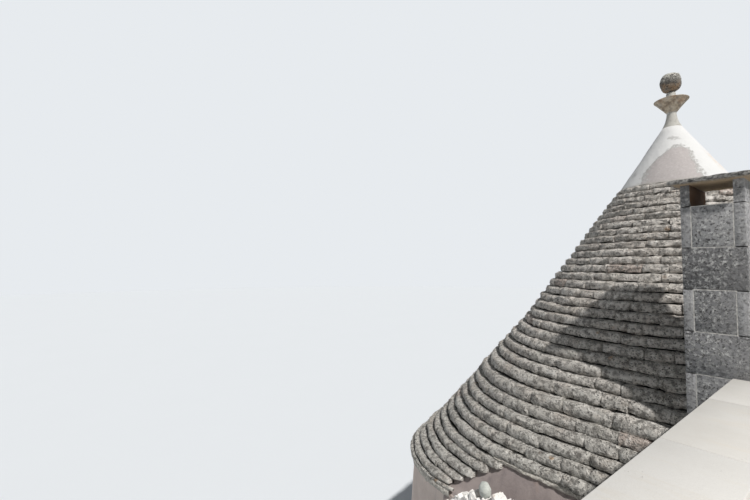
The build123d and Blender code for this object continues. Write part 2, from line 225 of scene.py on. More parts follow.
def gridOn(bm, columns, rows, place):
    # a sheet of columns by rows faces, every corner moved to place(column, row)
    verts = bmesh.ops.create_grid(bm, x_segments=columns, y_segments=rows, size=1)["verts"]
    for vert in verts:
        vert.co = place(round((vert.co.x + 1) / 2 * columns), round((vert.co.y + 1) / 2 * rows))
    return verts


def turned(outline, segments, cuts=0):
    bm = bmesh.new()
    verts = [bm.verts.new((radius, 0, level)) for radius, level in outline]
    edges = [bm.edges.new(pair) for pair in zip(verts, verts[1:])]
    if cuts:
        bmesh.ops.subdivide_edges(bm, edges=edges, cuts=cuts)
    bmesh.ops.spin(
        bm, geom=bm.verts[:] + bm.edges[:], cent=(0, 0, 0), axis=(0, 0, 1),
        angle=2 * math.pi, steps=segments, use_merge=True)
    bmesh.ops.remove_doubles(bm, verts=bm.verts[:], dist=1e-5)
    faceOut(bm)
    return bm


def ball(centre, size, subdivisions, shape):
    # a sphere of the given half sizes, swollen by shape(direction)
    bm = bmesh.new()
    bmesh.ops.create_icosphere(bm, subdivisions=subdivisions, radius=1)
    for vert in bm.verts:
        way = vert.co.normalized()
        vert.co = centre + Vector([way[axis] * size[axis] for axis in range(3)]) * shape(way)
    return bm


def alongSquare(half, corner, run):
    # point and outward direction, at a distance along a square with rounded corners, from (half, 0)
    flat = half - corner
    quarterRun = 2 * flat + corner * math.pi / 2
    quarter, rest = divmod(run, quarterRun)
    if rest < flat:
        place, out = Vector((half, rest, 0)), Vector((1, 0, 0))
    elif rest < quarterRun - flat:
        angle = (rest - flat) / corner
        out = Vector((math.cos(angle), math.sin(angle), 0))
        place = Vector((flat, flat, 0)) + out * corner
    else:
        place, out = Vector((quarterRun - rest, half, 0)), Vector((0, 1, 0))
    turn = Matrix.Rotation(quarter * math.pi / 2, 3, "Z")
    return turn @ place, turn @ out


def lengthRound(half, corner):
    return 4 * (2 * (half - corner) + corner * math.pi / 2)


def spread(start, end, step, stops=()):
    # values about a step apart from start to end, some of them at the stops
    marks = sorted({start, end, *[s for s in stops if start < s < end]})
    values = [marks[0]]
    for a, b in zip(marks, marks[1:]):
        count = max(1, round((b - a) / step))
        values += [a + (b - a) * n / count for n in range(1, count + 1)]
    return values


# Camera, light and floor

view = {
    "eye": (1.542, -6.036, 4.94),
    "heading": 142.0,          # degrees from +X
    "pitch": 2.35,
    "focalPixels": 390.0,
    "framePixels": 750.0,
    "sensor": 36.0,
    "clip": (0.05, 400),
}
light = {
    "toSun": (0.624, -0.205, 0.754),   # from the chimney's shadow on the cone
    "sun": 3.45,
    "sunSize": 1.6,            # degrees
    "sunColour": (1.0, 0.975, 0.94),
    "fill": 0.18,
    "fillColour": (0.91, 0.955, 1.0),
    "backdrop": (0.80, 0.83, 0.86),
}
floor = {"colour": (0.795, 0.832, 0.872), "shade": 0.985, "radius": 90.0, "sunk": 0.004}


def setCamera():
    camera = linked("camera", bpy.data.cameras.new("camera"))
    camera.data.sensor_width = view["sensor"]
    camera.data.lens = view["focalPixels"] / view["framePixels"] * view["sensor"]
    camera.data.clip_start, camera.data.clip_end = view["clip"]
    heading, pitch = math.radians(view["heading"]), math.radians(view["pitch"])
    level = math.cos(pitch)
    ahead = Vector((math.cos(heading) * level, math.sin(heading) * level, math.sin(pitch)))
    camera.location = view["eye"]
    camera.rotation_euler = ahead.to_track_quat("-Z", "Y").to_euler()
    bpy.context.scene.camera = camera
    bpy.context.scene.view_settings.view_transform = "Standard"


def setLight():
    sun = linked("sun", bpy.data.lights.new("sun", "SUN"))
    sun.data.energy = light["sun"]
    sun.data.angle = math.radians(light["sunSize"])
    sun.data.color = light["sunColour"]
    sun.rotation_euler = Vector(light["toSun"]).to_track_quat("Z", "Y").to_euler()

    # soft light all round, and a pale backdrop for what is seen directly, through glass or reflected
    world = bpy.data.worlds.new("world")
    world.use_nodes = True
    bpy.context.scene.world = world
    nodes, links = world.node_tree.nodes, world.node_tree.links
    path = nodes.new("ShaderNodeLightPath")
    seen = path.outputs["Is Camera Ray"]
    for ray in ("Is Transmission Ray", "Is Glossy Ray"):
        either = nodes.new("ShaderNodeMath")
        either.operation = "MAXIMUM"
        links.new(seen, either.inputs[0])
        links.new(path.outputs[ray], either.inputs[1])
        seen = either.outputs[0]
    choice = nodes.new("ShaderNodeMixShader")
    links.new(seen, choice.inputs[0])
    soft, pale = nodes["Background"], nodes.new("ShaderNodeBackground")
    for glow, colour, strength, socket in ((soft, light["fillColour"], light["fill"], 1),
                                           (pale, light["backdrop"], 1.0, 2)):
        glow.inputs["Color"].default_value = (*colour, 1)
        glow.inputs["Strength"].default_value = strength
        links.new(glow.outputs[0], choice.inputs[socket])
    links.new(choice.outputs[0], nodes["World Output"].inputs["Surface"])


def layFloor():
    bm = bmesh.new()
    bmesh.ops.create_circle(bm, cap_ends=True, segments=96, radius=floor["radius"])
    bmesh.ops.translate(bm, verts=bm.verts[:], vec=(0, 0, -floor["sunk"]))
    disc = linked("floor", meshOf("floor", bm))
    paper = Finish("floorPaper", 0.95)
    shaded = [part * floor["shade"] for part in floor["colour"]]
    paper.paint(paper.mix(paper.noise(0.4), floor["colour"], shaded))
    disc.data.materials.append(paper.material)


setCamera()
setLight()
layFloor()
print("stage: camera, light and floor")


# Finishes

chimney = {
    "course": 0.325, "slab": 0.062, "joint": 0.006, "inset": 0.0015, "least": 0.05, "sideBevel": 0.003,
    "lightness": [0.85, 0.12, 0.35, 0.40],          # of the slabs in front, from the top down
}


def roofStoneFinish():
    stone = Finish("roofStone", 0.92)
    lightness, warmth, openToLight = (stone.tone(part) for part in range(3))
    height = stone.z.rise(2.7, 5.2)                 # grey and spotted low down, warm and clean higher up
    blotch = stone.noise(4.5, 4, 0.62)
    lumps = stone.noise(16, 5, 0.68)
    grain = stone.noise(46, 4, 0.7)
    flecks = stone.noise(27, 5, 0.75).rise(0.52, 0.60)
    dirt = stone.noise(19, 6, 0.78).rise(0.50, 0.60)
    pits = stone.cells(38).fall(0.10, 0.36) * lumps.rise(0.36, 0.55)
    lichen = stone.cells(7).fall(0.13, 0.24) * stone.noise(2.1, 2).rise(0.60, 0.66)
    green = stone.noise(3.1, 3, 0.6).rise(0.58, 0.70) * grain.rise(0.45, 0.6)
    # the ragged edge of the painted shade in the joints
    ragged = (stone.noise(36, 5, 0.75) - 0.5) * 0.9
    stone.paint(
        stone.mix(lightness, (0.55, 0.53, 0.49), (0.69, 0.67, 0.625)),
        ((height * 0.7 + blotch * 0.6).rise(0.2, 0.95),
         stone.mix(lightness, (0.67, 0.62, 0.565), (0.82, 0.775, 0.72))),
        (blotch.rise(0.50, 0.70) * 0.45, (0.60, 0.52, 0.45)),
        (warmth.rise(0.955, 0.97) * (0.25 + blotch * 0.5), (0.64, 0.49, 0.42)),
        (flecks * (0.45 + height * 0.25), (0.92, 0.90, 0.85)),
        (dirt * (0.72 - height * 0.10), (0.13, 0.118, 0.105)),
        # painted shade in the low spots of the relief
        ((1 - lumps).rise(0.50, 0.64) * 0.50, (0.11, 0.10, 0.09)),
        (pits * 0.62, (0.060, 0.056, 0.052)),
        (lichen * grain.rise(0.35, 0.6) * 0.75, (0.56, 0.33, 0.15)),
        (green * 0.30, (0.46, 0.47, 0.39)),
        (stone.mark("Alpha") * grain.rise(0.25, 0.5) * 0.9, (0.80, 0.77, 0.72)),
        ((openToLight + ragged).fall(0.14, 0.50) * 0.90, (0, 0, 0)))                    # painted shade: dark under each course's lip, between the courses and at the slabs' ends
    stone.relief(lumps + grain * 0.35 - pits * 0.4 - dirt * 0.12, 0.055)
    return stone


def tipPlasterFinish():
    plaster = Finish("tipPlaster", 0.86)
    z = plaster.z
    angle = z.calc("ARCTAN2", plaster.y, plaster.x) * (180 / math.pi)
    drift = plaster.noise(7, 5, 0.65) - 0.5
    fine = plaster.noise(26, 5, 0.72) - 0.5
    # the big stain faces the terrace: straight sides, and a rounded top that falls away to the left
    bend = (angle + 65) / 45
    topEdge = 6.405 - bend * bend * 0.25
    left = (angle + drift * 18 + fine * 44).rise(-117, -100)
    right = (angle + drift * 14 + fine * 30).fall(-54, -41)
    below = (z - topEdge + drift * 0.10 + fine * 0.15).fall(-0.050, 0.035)
    behind = (angle + 180).within(15, 30, 45, 62) + angle.within(35, 60, 120, 150)
    drips = plaster.noise(2.1, 3, 0.6, plaster.stretched(1, 1, 0.55)).rise(0.54, 0.66)
    stain = left * right * below + drips * behind * z.fall(6.25, 6.6) * 0.7
    level = z + fine * 0.14 + (angle + 70) * 0.0009
    patch = (angle + fine * 60).within(-90, -78, -62, -50) * level.within(6.488, 6.508, 6.532, 6.548)
    rust = (angle + drift * 12).rise(-22, -12) * angle.fall(0, 12) * z.within(6.02, 6.12, 6.28, 6.36)
    runs = plaster.noise(9, 4, 0.65, plaster.stretched(3, 3, 0.28)).rise(0.55, 0.75)
    grey = plaster.mix(plaster.noise(40, 5, 0.75), (0.27, 0.265, 0.255), (0.52, 0.51, 0.495))
    worn = plaster.mix(plaster.noise(30, 6, 0.72), (0.41, 0.37, 0.365), (0.575, 0.525, 0.515))
    plaster.paint(
        plaster.mix(plaster.noise(9, 4, 0.6), (0.71, 0.71, 0.705), (0.765, 0.765, 0.76)),
        (stain.rise(0.05, 0.55) * plaster.noise(48, 5, 0.75).rise(0.30, 0.55), grey),
        (stain.rise(0.55, 0.95) * (0.78 + fine * 0.5), worn),
        (patch * (0.6 + fine), grey),
        (rust * plaster.noise(16, 4, 0.7).rise(0.35, 0.6) * 0.40, (0.66, 0.50, 0.35)),
        (runs * 0.22 * z.fall(6.5, 6.7), (0.56, 0.545, 0.51)),
        ((z + drift * 0.03 + fine * 0.03).fall(5.925, 5.965) * 0.6, (0.46, 0.44, 0.40)))
    plaster.relief(plaster.noise(7, 4, 0.6) + plaster.noise(55, 5, 0.7) * (0.12 + stain * 0.25), 0.02, 0.55)
    return plaster


def turnedStoneFinish():
    cream = Finish("turnedStone", 0.8)
    low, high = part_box("finial_dish")
    dish = cream.z.within(low.z - 0.003, low.z + 0.02, high.z - 0.006, high.z)
    cream.paint(
        cream.mix(cream.noise(16, 4, 0.6), (0.42, 0.41, 0.38), (0.57, 0.555, 0.51)),
        (dish * (0.70 + cream.noise(12, 4).rise(0.35, 0.6) * 0.3),
         cream.mix(cream.noise(20, 6, 0.75).rise(0.36, 0.64), (0.20, 0.15, 0.105), (0.56, 0.46, 0.34))),
        (cream.noise(7, 4, 0.6).rise(0.50, 0.66) * dish * 0.5, (0.36, 0.21, 0.12)),
        (cream.noise(26, 6, 0.78).rise(0.52, 0.62) * (0.40 + dish * 0.25), (0.20, 0.18, 0.155)))
    cream.relief(cream.noise(40, 5, 0.65) + cream.noise(140, 3) * 0.3, 0.006, 0.6)
    return cream


def ballFinish():
    dark = Finish("ballStone", 0.95)
    z = dark.z
    low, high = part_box("finial_ball")
    middle = (low.z + high.z) / 2
    blotch = dark.noise(11, 5, 0.7) - 0.5
    crust = dark.noise(30, 6, 0.8)
    # white crust gathered on the top: real crust, and painted light that makes the top lighter than the sides
    top = (z + blotch * 0.16).rise(middle - 0.02, high.z - 0.05)
    rusty = (z + blotch * 0.2).fall(low.z + 0.03, middle + 0.01) * dark.noise(14, 4).rise(0.36, 0.58)
    holes = dark.cells(34).fall(0.06, 0.30)
    dark.paint(
        dark.mix(dark.noise(22, 5, 0.7), (0.060, 0.055, 0.050), (0.23, 0.21, 0.185)),
        (rusty * 0.8, (0.36, 0.23, 0.13)),
        (crust.rise(0.43, 0.55) * (0.08 + top * 0.90), (0.76, 0.74, 0.68)),
        (dark.noise(15, 2).rise(0.60, 0.68) * top * 0.3, (0.30, 0.33, 0.24)),
        (holes * dark.noise(9, 2).rise(0.4, 0.55) * 0.75, (0.035, 0.032, 0.030)))
    dark.relief(crust * 0.8 + dark.noise(70, 4, 0.7) * 0.3 - holes * 0.6, 0.022)
    return dark


def tufaFinish():
    tufa = Finish("tufaSlab", 0.95)
    lightness, smooth = tufa.tone(), tufa.tone(1)
    low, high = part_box("chimney_sides")
    inner = low.x + chimney["slab"]                 # painted shade under the cap on the inner face of the head's left slab, dark brown, partly a rusty stain
    revealShade = tufa.x.within(inner - 0.0015, inner, inner + 0.02, inner + 0.03)
    revealShade = revealShade * tufa.z.rise(low.z, low.z + 0.004)
    base = tufa.mix(lightness, (0.165, 0.165, 0.17), (0.47, 0.47, 0.48))
    broad = tufa.noise(5, 4, 0.6)
    coarse = tufa.noise(2.6, 3, 0.6).rise(0.36, 0.58) * (1 - smooth * 0.8)       # some parts stay smooth
    grains = tufa.noise(30, 6, 0.80).rise(0.49, 0.57)
    specks = tufa.noise(40, 6, 0.80).rise(0.52, 0.59)
    holes = tufa.cells(46).fall(0.10, 0.30) * tufa.noise(14, 3).rise(0.40, 0.56) * (1 - smooth * 0.85)
    scratch = tufa.noise(24, 2, 0.5, tufa.stretched(1.0, 1.0, 7.0)).rise(0.60, 0.68)
    tufa.paint(
        base,
        (broad.rise(0.35, 0.7) * 0.55, (0.62, 0.62, 0.63), "MULTIPLY"),
        (grains * (0.30 + coarse * 0.58), tufa.mix(0.22, (0.82, 0.82, 0.81), base)),
        (specks * (0.44 + coarse * 0.44), (0.050, 0.049, 0.050)),
        (holes * 0.9, (0.040, 0.038, 0.038)),
        (scratch * 0.22, (0.58, 0.58, 0.58)),
        # painted shade, dark brown, on the slab's inner face
        (revealShade * (0.75 + broad * 0.4),
         tufa.mix(tufa.noise(18, 4), (0.12, 0.065, 0.035), (0.26, 0.15, 0.085))))
    tufa.relief(grains * 0.3 - specks * 0.3 - holes * 0.9 + tufa.noise(28, 6, 0.75) * 0.6, 0.010, 0.9)
    return tufa


def capFinish():
    cap = Finish("capStone", 0.95)
    low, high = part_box("chimney_cap")
    crust = cap.noise(46, 6, 0.78)
    cap.paint(
        cap.mix(crust.rise(0.38, 0.62), (0.070, 0.068, 0.065), (0.44, 0.43, 0.41)),
        (cap.z.rise(high.z - 0.008, high.z + 0.002) * 0.8,
         cap.mix(cap.noise(12, 5, 0.7), (0.22, 0.21, 0.19), (0.42, 0.40, 0.36))),
        (crust.rise(0.60, 0.68) * 0.75, (0.60, 0.59, 0.56)),
        (cap.z.fall(low.z, low.z + 0.012) * 0.92,
         cap.mix(cap.noise(16, 5, 0.65), (0.40, 0.28, 0.165), (0.70, 0.54, 0.36))))
    cap.relief(cap.noise(26, 6, 0.75) + crust * 0.5, 0.02, 0.9)
    return cap


def mortarFinish(name, dark, lightest):
    mortar = Finish(name, 0.95)
    crumbs = mortar.noise(34, 6, 0.75)
    mortar.paint(
        mortar.mix(crumbs.rise(0.36, 0.62), dark, lightest),
        (mortar.noise(62, 4, 0.75).rise(0.56, 0.66) * 0.5, (0.16, 0.15, 0.135)))
    mortar.relief(crumbs + mortar.noise(80, 5, 0.7) * 0.4, 0.010)
    return mortar


def honedStoneFinish(name, dark, lightest, vein, coarse=1.0):
    honed = Finish(name, 0.62)
    cloud = honed.noise(2.6 * coarse, 5, 0.6)
    banding = honed.noise(5 * coarse, 4, 0.6, honed.stretched(0.6, 2.6, 1.0)).rise(0.52, 0.72)
    spots = honed.cells(46).fall(0.05, 0.16) * honed.noise(7, 2).rise(0.55, 0.7)
    honed.paint(
        honed.mix((cloud * 0.7 + honed.tone() * 0.4).rise(0.2, 0.85), dark, lightest),
        (banding * 0.38, vein),
        (spots * 0.4, (0.34, 0.30, 0.25)),
        (honed.noise(160, 3, 0.7).rise(0.45, 0.75) * 0.12, (0.42, 0.39, 0.34)))
    honed.feed(0.50 + cloud * 0.3, "Roughness")
    honed.relief(honed.noise(50, 5, 0.65) * 0.5 - spots, 0.003, 0.7)
    return honed


def renderFinish(name, dark, lightest):
    render = Finish(name, 0.93)
    x, y, z = render.x, render.y, render.z
    cloud = render.noise(1.7, 5, 0.62)
    streak = render.noise(5.0, 5, 0.66, render.stretched(2.6, 2.6, 0.22))
    rusty = render.noise(2.2, 3, 0.6, render.stretched(1.6, 1.6, 0.35)).rise(0.60, 0.72)
    sand = render.noise(150, 4, 0.75)
    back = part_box("hearth_back")[1].y
    edge = (1.76, 1.78)                             # where the room ends, inside the walls
    indoors = x.calc("ABSOLUTE", x).fall(*edge) * y.fall(*edge) * y.rise(back - 0.01, back)
    render.paint(
        render.mix(cloud.rise(0.3, 0.7), dark, lightest),
        (streak.rise(0.50, 0.72) * 0.5, (0.62, 0.62, 0.66), "MULTIPLY"),
        ((1 - streak).rise(0.56, 0.74) * 0.42, lightest),
        (rusty * 0.30, (0.40, 0.27, 0.215)),
        ((z + cloud * 0.5).fall(0.25, 0.75) * 0.5, (0.22, 0.20, 0.185)),
        (sand.rise(0.5, 0.75) * 0.22, (0.60, 0.56, 0.53)),
        (indoors, render.mix(cloud, (0.74, 0.72, 0.68), (0.84, 0.83, 0.80))))        # limewash
    render.relief(render.noise(6, 4, 0.55) * 0.8 + render.noise(38, 5, 0.7) * 0.22 + sand * 0.05, 0.02, 0.6)
    return render


def limewashFinish():
    wash = Finish("whiteRubble", 0.88)
    wash.paint(
        wash.mix(wash.noise(3.0, 5, 0.6), (0.80, 0.785, 0.76), (0.90, 0.89, 0.87)),
        (wash.noise(15, 6, 0.75).rise(0.56, 0.72) * 0.45, (0.52, 0.47, 0.41)),
        ((wash.noise(6, 4, 0.7) + wash.tone() * 0.22).rise(0.70, 0.80) * 0.7, (0.47, 0.36, 0.30)))
    wash.relief(wash.noise(22, 6, 0.7) + wash.noise(90, 4, 0.7) * 0.3, 0.012, 0.8)
    return wash


def roundStoneFinish():
    stone = Finish("roundStone", 0.85)
    cloud = stone.noise(14, 5, 0.65)
    stone.paint(
        stone.mix(cloud, (0.46, 0.49, 0.46), (0.68, 0.70, 0.66)),
        (stone.noise(55, 4, 0.7).rise(0.54, 0.64) * 0.5, (0.24, 0.25, 0.23)))
    stone.relief(cloud + stone.noise(60, 3) * 0.3, 0.006, 0.7)
    return stone


def wingPlasterFinish():
    lime = Finish("wingPlaster", 0.9)
    z = lime.z
    runs = lime.noise(3.6, 5, 0.66, lime.stretched(3, 3, 0.16)).rise(0.54, 0.74)
    sand = lime.noise(130, 4, 0.75)
    crack = lime.cells(0.9, "DISTANCE_TO_EDGE").fall(0.0, 0.006) * lime.noise(0.8, 2).rise(0.52, 0.6)
    lime.paint(
        lime.mix(lime.noise(1.1, 5, 0.6).rise(0.3, 0.7), (0.60, 0.545, 0.465), (0.71, 0.66, 0.58)),
        (runs * z.rise(1.6, 4.0) * 0.55, (0.40, 0.365, 0.315)),
        ((z + lime.noise(4, 4) * 0.5).fall(0.30, 0.72) * 0.5, (0.39, 0.335, 0.27)),
        (sand.rise(0.5, 0.75) * 0.16, (0.82, 0.79, 0.73)),
        (crack * 0.5, (0.30, 0.265, 0.22)))
    lumps = lime.noise(5, 4, 0.55) * 0.8 + lime.noise(34, 5, 0.68) * 0.2
    lime.relief(lumps + sand * 0.06 - crack * 0.2, 0.02, 0.55)
    return lime


def timberFinish():
    timber = Finish("doorTimber", 0.55)
    grain = timber.noise(16, 5, 0.62, timber.stretched(6, 6, 0.35))
    line = timber.noise(34, 3, 0.5, timber.stretched(7, 7, 0.22)).rise(0.58, 0.66)
    wear = timber.z.fall(0.15, 0.5) * timber.noise(8, 3).rise(0.4, 0.65)
    timber.paint(
        timber.mix(
            (grain * 0.8 + timber.tone() * 0.35).rise(0.25, 0.85),
            (0.105, 0.058, 0.030), (0.29, 0.175, 0.095)),
        (line * 0.6, (0.06, 0.034, 0.02)),
        (wear * 0.55, (0.30, 0.255, 0.20)))
    timber.feed(0.48 + grain * 0.25, "Roughness")
    timber.relief(grain - line * 0.6, 0.004, 0.8)
    return timber


def ironFinish():
    iron = Finish("forgedIron", 0.6, 0.85)
    rust = iron.noise(30, 5, 0.7).rise(0.48, 0.66)
    iron.paint(iron.mix(rust, (0.045, 0.043, 0.042), (0.15, 0.075, 0.04)))
    iron.feed(0.45 + rust * 0.4, "Roughness")
    iron.relief(iron.noise(60, 4, 0.65), 0.002)
    return iron


def paneFinish():
    pane = Finish("windowPane", 0.04)
    pane.shader.inputs["Base Color"].default_value = (0.86, 0.91, 0.90, 1)
    pane.shader.inputs["Transmission Weight"].default_value = 1.0
    pane.shader.inputs["IOR"].default_value = 1.45
    pane.feed(0.03 + pane.noise(9, 4, 0.7).rise(0.5, 0.8) * 0.10, "Roughness")
    pane.relief(pane.noise(3, 2), 0.001, 0.3)
    return pane


def corbelFinish():
    corbel = Finish("corbelStone", 0.93)
    beds = corbel.noise(9, 4, 0.6, corbel.stretched(1, 1, 3.2))
    corbel.paint(
        corbel.mix(beds, (0.62, 0.59, 0.54), (0.80, 0.78, 0.74)),
        (corbel.z.rise(3.4, 5.0) * corbel.noise(3, 4).rise(0.35, 0.65) * 0.5, (0.25, 0.22, 0.19)))
    gaps = corbel.cells(5, "DISTANCE_TO_EDGE", corbel.stretched(1, 1, 2.4)).rise(0, 0.09)
    corbel.relief(gaps + beds * 0.5, 0.03, 0.8)
    return corbel


roofStone = roofStoneFinish()
tipPlaster = tipPlasterFinish()
turnedStone = turnedStoneFinish()
ballStone = ballFinish()
tufaSlab = tufaFinish()
capStone = capFinish()
jointMortar = mortarFinish("jointMortar", (0.46, 0.45, 0.43), (0.76, 0.745, 0.71))
bedCrust = mortarFinish("bedCrust", (0.36, 0.335, 0.30), (0.72, 0.69, 0.63))
copingStone = honedStoneFinish("copingStone", (0.66, 0.635, 0.59), (0.79, 0.775, 0.745), (0.74, 0.69, 0.61))
pavingStone = honedStoneFinish("pavingStone", (0.46, 0.425, 0.37), (0.66, 0.625, 0.56), (0.50, 0.44, 0.36))
dressedStone = honedStoneFinish(
    "dressedStone", (0.55, 0.52, 0.46), (0.72, 0.695, 0.64), (0.60, 0.54, 0.45), 1.6)
greyRender = renderFinish("greyRender", (0.63, 0.53, 0.475), (0.80, 0.695, 0.635))
bedMortar = renderFinish("bedMortar", (0.26, 0.22, 0.215), (0.39, 0.335, 0.32))
whiteRubble = limewashFinish()
roundStone = roundStoneFinish()
wingPlaster = wingPlasterFinish()
doorTimber = timberFinish()
forgedIron = ironFinish()
windowPane = paneFinish()
corbelStone = corbelFinish()
print("stage: finishes")


# Stone courses of the roof

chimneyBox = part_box("chimney_shaft")
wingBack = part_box("wing_back_wall")[1].y
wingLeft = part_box("wing_left_wall")[0].x
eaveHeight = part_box("roof_courses_1")[0].z
wallLean = 0.18 / eaveHeight                        # the trullo's walls lean in

roof = {
    # the lowest course is half sunk in mortar, two above the middle are thick, and the upper ones get thinner
    "heights": [0.038] + [0.086] * 5 + [0.106] * 5 + [0.135, 0.125] + [0.106] * 4
               + [0.1033 - 0.00167 * n for n in range(20)],
    # level, half width and corner radius
    "profile": [(eaveHeight, 2.79, 1.45), (3.006, 2.50, 1.80), (4.172, 1.76, 1.69), (5.992, 0.51, 0.46)],
    "liftEnds": [6, 11, 17, 23, 30, 37],
    "longest": (0.60, 0.30),    # at the eave and at the crown
    "shortest": (0.26, 0.14),
    "least": 0.03,
    "joint": 0.0025,
    "proud": 0.005,
    "proudest": 0.010,
    "swing": 0.03,
    "heave": 0.003,
    "tall": (0.95, 1.02),
    "sag": 0.006,
    "craggy": (0.006, 0.011),   # at the eave and at the crown
    "backing": 0.085,
    "backingColumns": 96,
    "shapes": 14,
    "remnant": 0.6,             # a rest shorter than this share of a slab joins the last one
    "probe": 0.01,
    "margin": 0.004,
    "chimneyMargin": 0.012,
    # where the lowest courses break off, and how they rise toward that end
    "brokenAt": [-1.30, -1.36, -1.25, -1.13, -0.99, -0.85],
    "bedFront": -2.2,
    "risesFrom": -1.3,
    "risesOver": 1.2,
    "risesBy": 0.055,
    "risesUpTo": 0.21,
}
# outline of a slab, from its bed to its top: outward and upward, in course heights
slabOutline = [(-1.0, 0.03), (-0.30, 0.05), (-0.02, 0.08), (0.08, 0.22), (0.10, 0.44), (0.06, 0.69),
               (-0.06, 0.88), (-0.27, 0.975), (-0.60, 1.01), (-1.0, 1.03)]
# cross sections along a slab: share of its length, how far it is drawn back, how much it is pinched
slabSections = [(0, 0.09, 0.02), (0.03, 0.015, 0.0), (0.2, 0, 0), (0.4, 0, 0), (0.6, 0, 0), (0.8, 0, 0),
                (0.97, 0.015, 0.0), (1, 0.09, 0.02)]


def between(share, pair):
    return pair[0] + (pair[1] - pair[0]) * share


def roofAt(z):
    for (z0, half0, corner0), (z1, half1, corner1) in zip(roof["profile"], roof["profile"][1:]):
        if z <= z1:
            share = (z - z0) / (z1 - z0)
            return between(share, (half0, half1)), between(share, (corner0, corner1))
    return half1, corner1


def roofCourses():
    # level, height, half width and corner radius of each course
    courses, level = [], eaveHeight
    for height in roof["heights"]:
        courses.append((level, height, *roofAt(level)))
        level += height
    return courses


courses = roofCourses()
wholeFrom = roof["liftEnds"][0]                     # the courses below this one break off


def slabShape(draw):
    # one slab in course heights: x along it, y outward, z upward
    bm = bmesh.new()
    shift = draw.uniform(0, 90)
    bulge = draw.uniform(0.7, 1.25)

    def place(column, row):
        along, pull, pinch = slabSections[column]
        out, rise = slabOutline[row]
        if 0 < row < len(slabOutline) - 1:
            lump = 0.07 * wobble(Vector((along * 3, out, rise)), 1.7, shift)
            out = out * (bulge if out > 0 else 1) - pull + lump
            rise += (0.15 if rise < 0.3 else 0.08) * wobble(Vector((along * 3, out, rise)), 1.9, shift + 20)
        rise += pinch * (0.5 - rise) * 2
        return Vector((along, out, rise))

    verts = gridOn(bm, len(slabSections) - 1, len(slabOutline) - 1, place)
    for end in (0, 1):
        rim = sorted((v for v in verts if abs(v.co.x - end) < 1e-6), key=lambda v: v.index)
        bm.faces.new(rim if end == 0 else rim[::-1])
    return meshOf("slabShape", bm)


def openRuns(number):
    # stretches of a course that are roof, not wing, chimney or rendered bed
    half, corner = courses[number][2:]
    around = lengthRound(half, corner)
    steps = int(around / roof["probe"])
    low, high = chimneyBox
    margin = roof["margin"]

    def isRoof(run):
        place = alongSquare(half, corner, run)[0]
        inWing = place.x > wingLeft - margin and place.y < wingBack + margin
        inChimney = low.x < place.x < high.x and low.y < place.y < high.y + roof["chimneyMargin"]
        onBed = number < wholeFrom and place.y < roof["bedFront"] and place.x > roof["brokenAt"][number]
        return not (inWing or inChimney or onBed)

    free = [isRoof(around * step / steps) for step in range(steps)]
    if all(free):
        return [(0.0, around)]
    first = free.index(False)
    runs, start = [], None
    for step in range(first, first + steps + 1):
        if free[step % steps] and start is None:
            start = step
        if not free[step % steps] and start is not None:
            runs.append((around * start / steps, around * step / steps))
            start = None
    return runs


def layRoof():
    draw = random.Random(11)
    shapes = [slabShape(draw) for count in range(roof["shapes"])]
    start = 0
    for lift, end in enumerate(roof["liftEnds"], 1):
        bm = stoneMesh()
        for number in range(start, end):
            around = lengthRound(*courses[number][2:])
            longest, shortest = (between(number / len(courses), roof[key]) for key in ("longest", "shortest"))
            for runStart, runEnd in openRuns(number):
                whole = runEnd - runStart >= around - 1e-6
                cut = runStart + (draw.uniform(0, longest) if whole else 0)
                runEnd += cut - runStart
                while runEnd - cut > roof["least"]:
                    length = draw.uniform(shortest, longest)
                    if runEnd - cut - length < shortest * roof["remnant"]:
                        length = runEnd - cut
                    atEnd = number < wholeFrom and length == runEnd - cut
                    laySlab(bm, draw, shapes, courses[number], cut, length, atEnd)
                    cut += length
        layBacking(bm, start, end)
        bmesh.ops.remove_doubles(bm, verts=bm.verts[:], dist=1e-6)
        addPiece(f"roofStones{lift}", bm, roofStone, "roof_slab", f"roof_courses_{lift}", sharp=50)
        start = end


def lifted(place, z):
    # the lowest courses rise a little toward their broken ends
    if place.x > 0 or place.y > roof["risesFrom"]:
        return 0.0
    fade = min(1.0, (roof["risesFrom"] - place.y) / roof["risesOver"])
    return roof["risesBy"] * fade * fade * (3 - 2 * fade) * max(0.0, 1 - (z - eaveHeight) / roof["risesUpTo"])


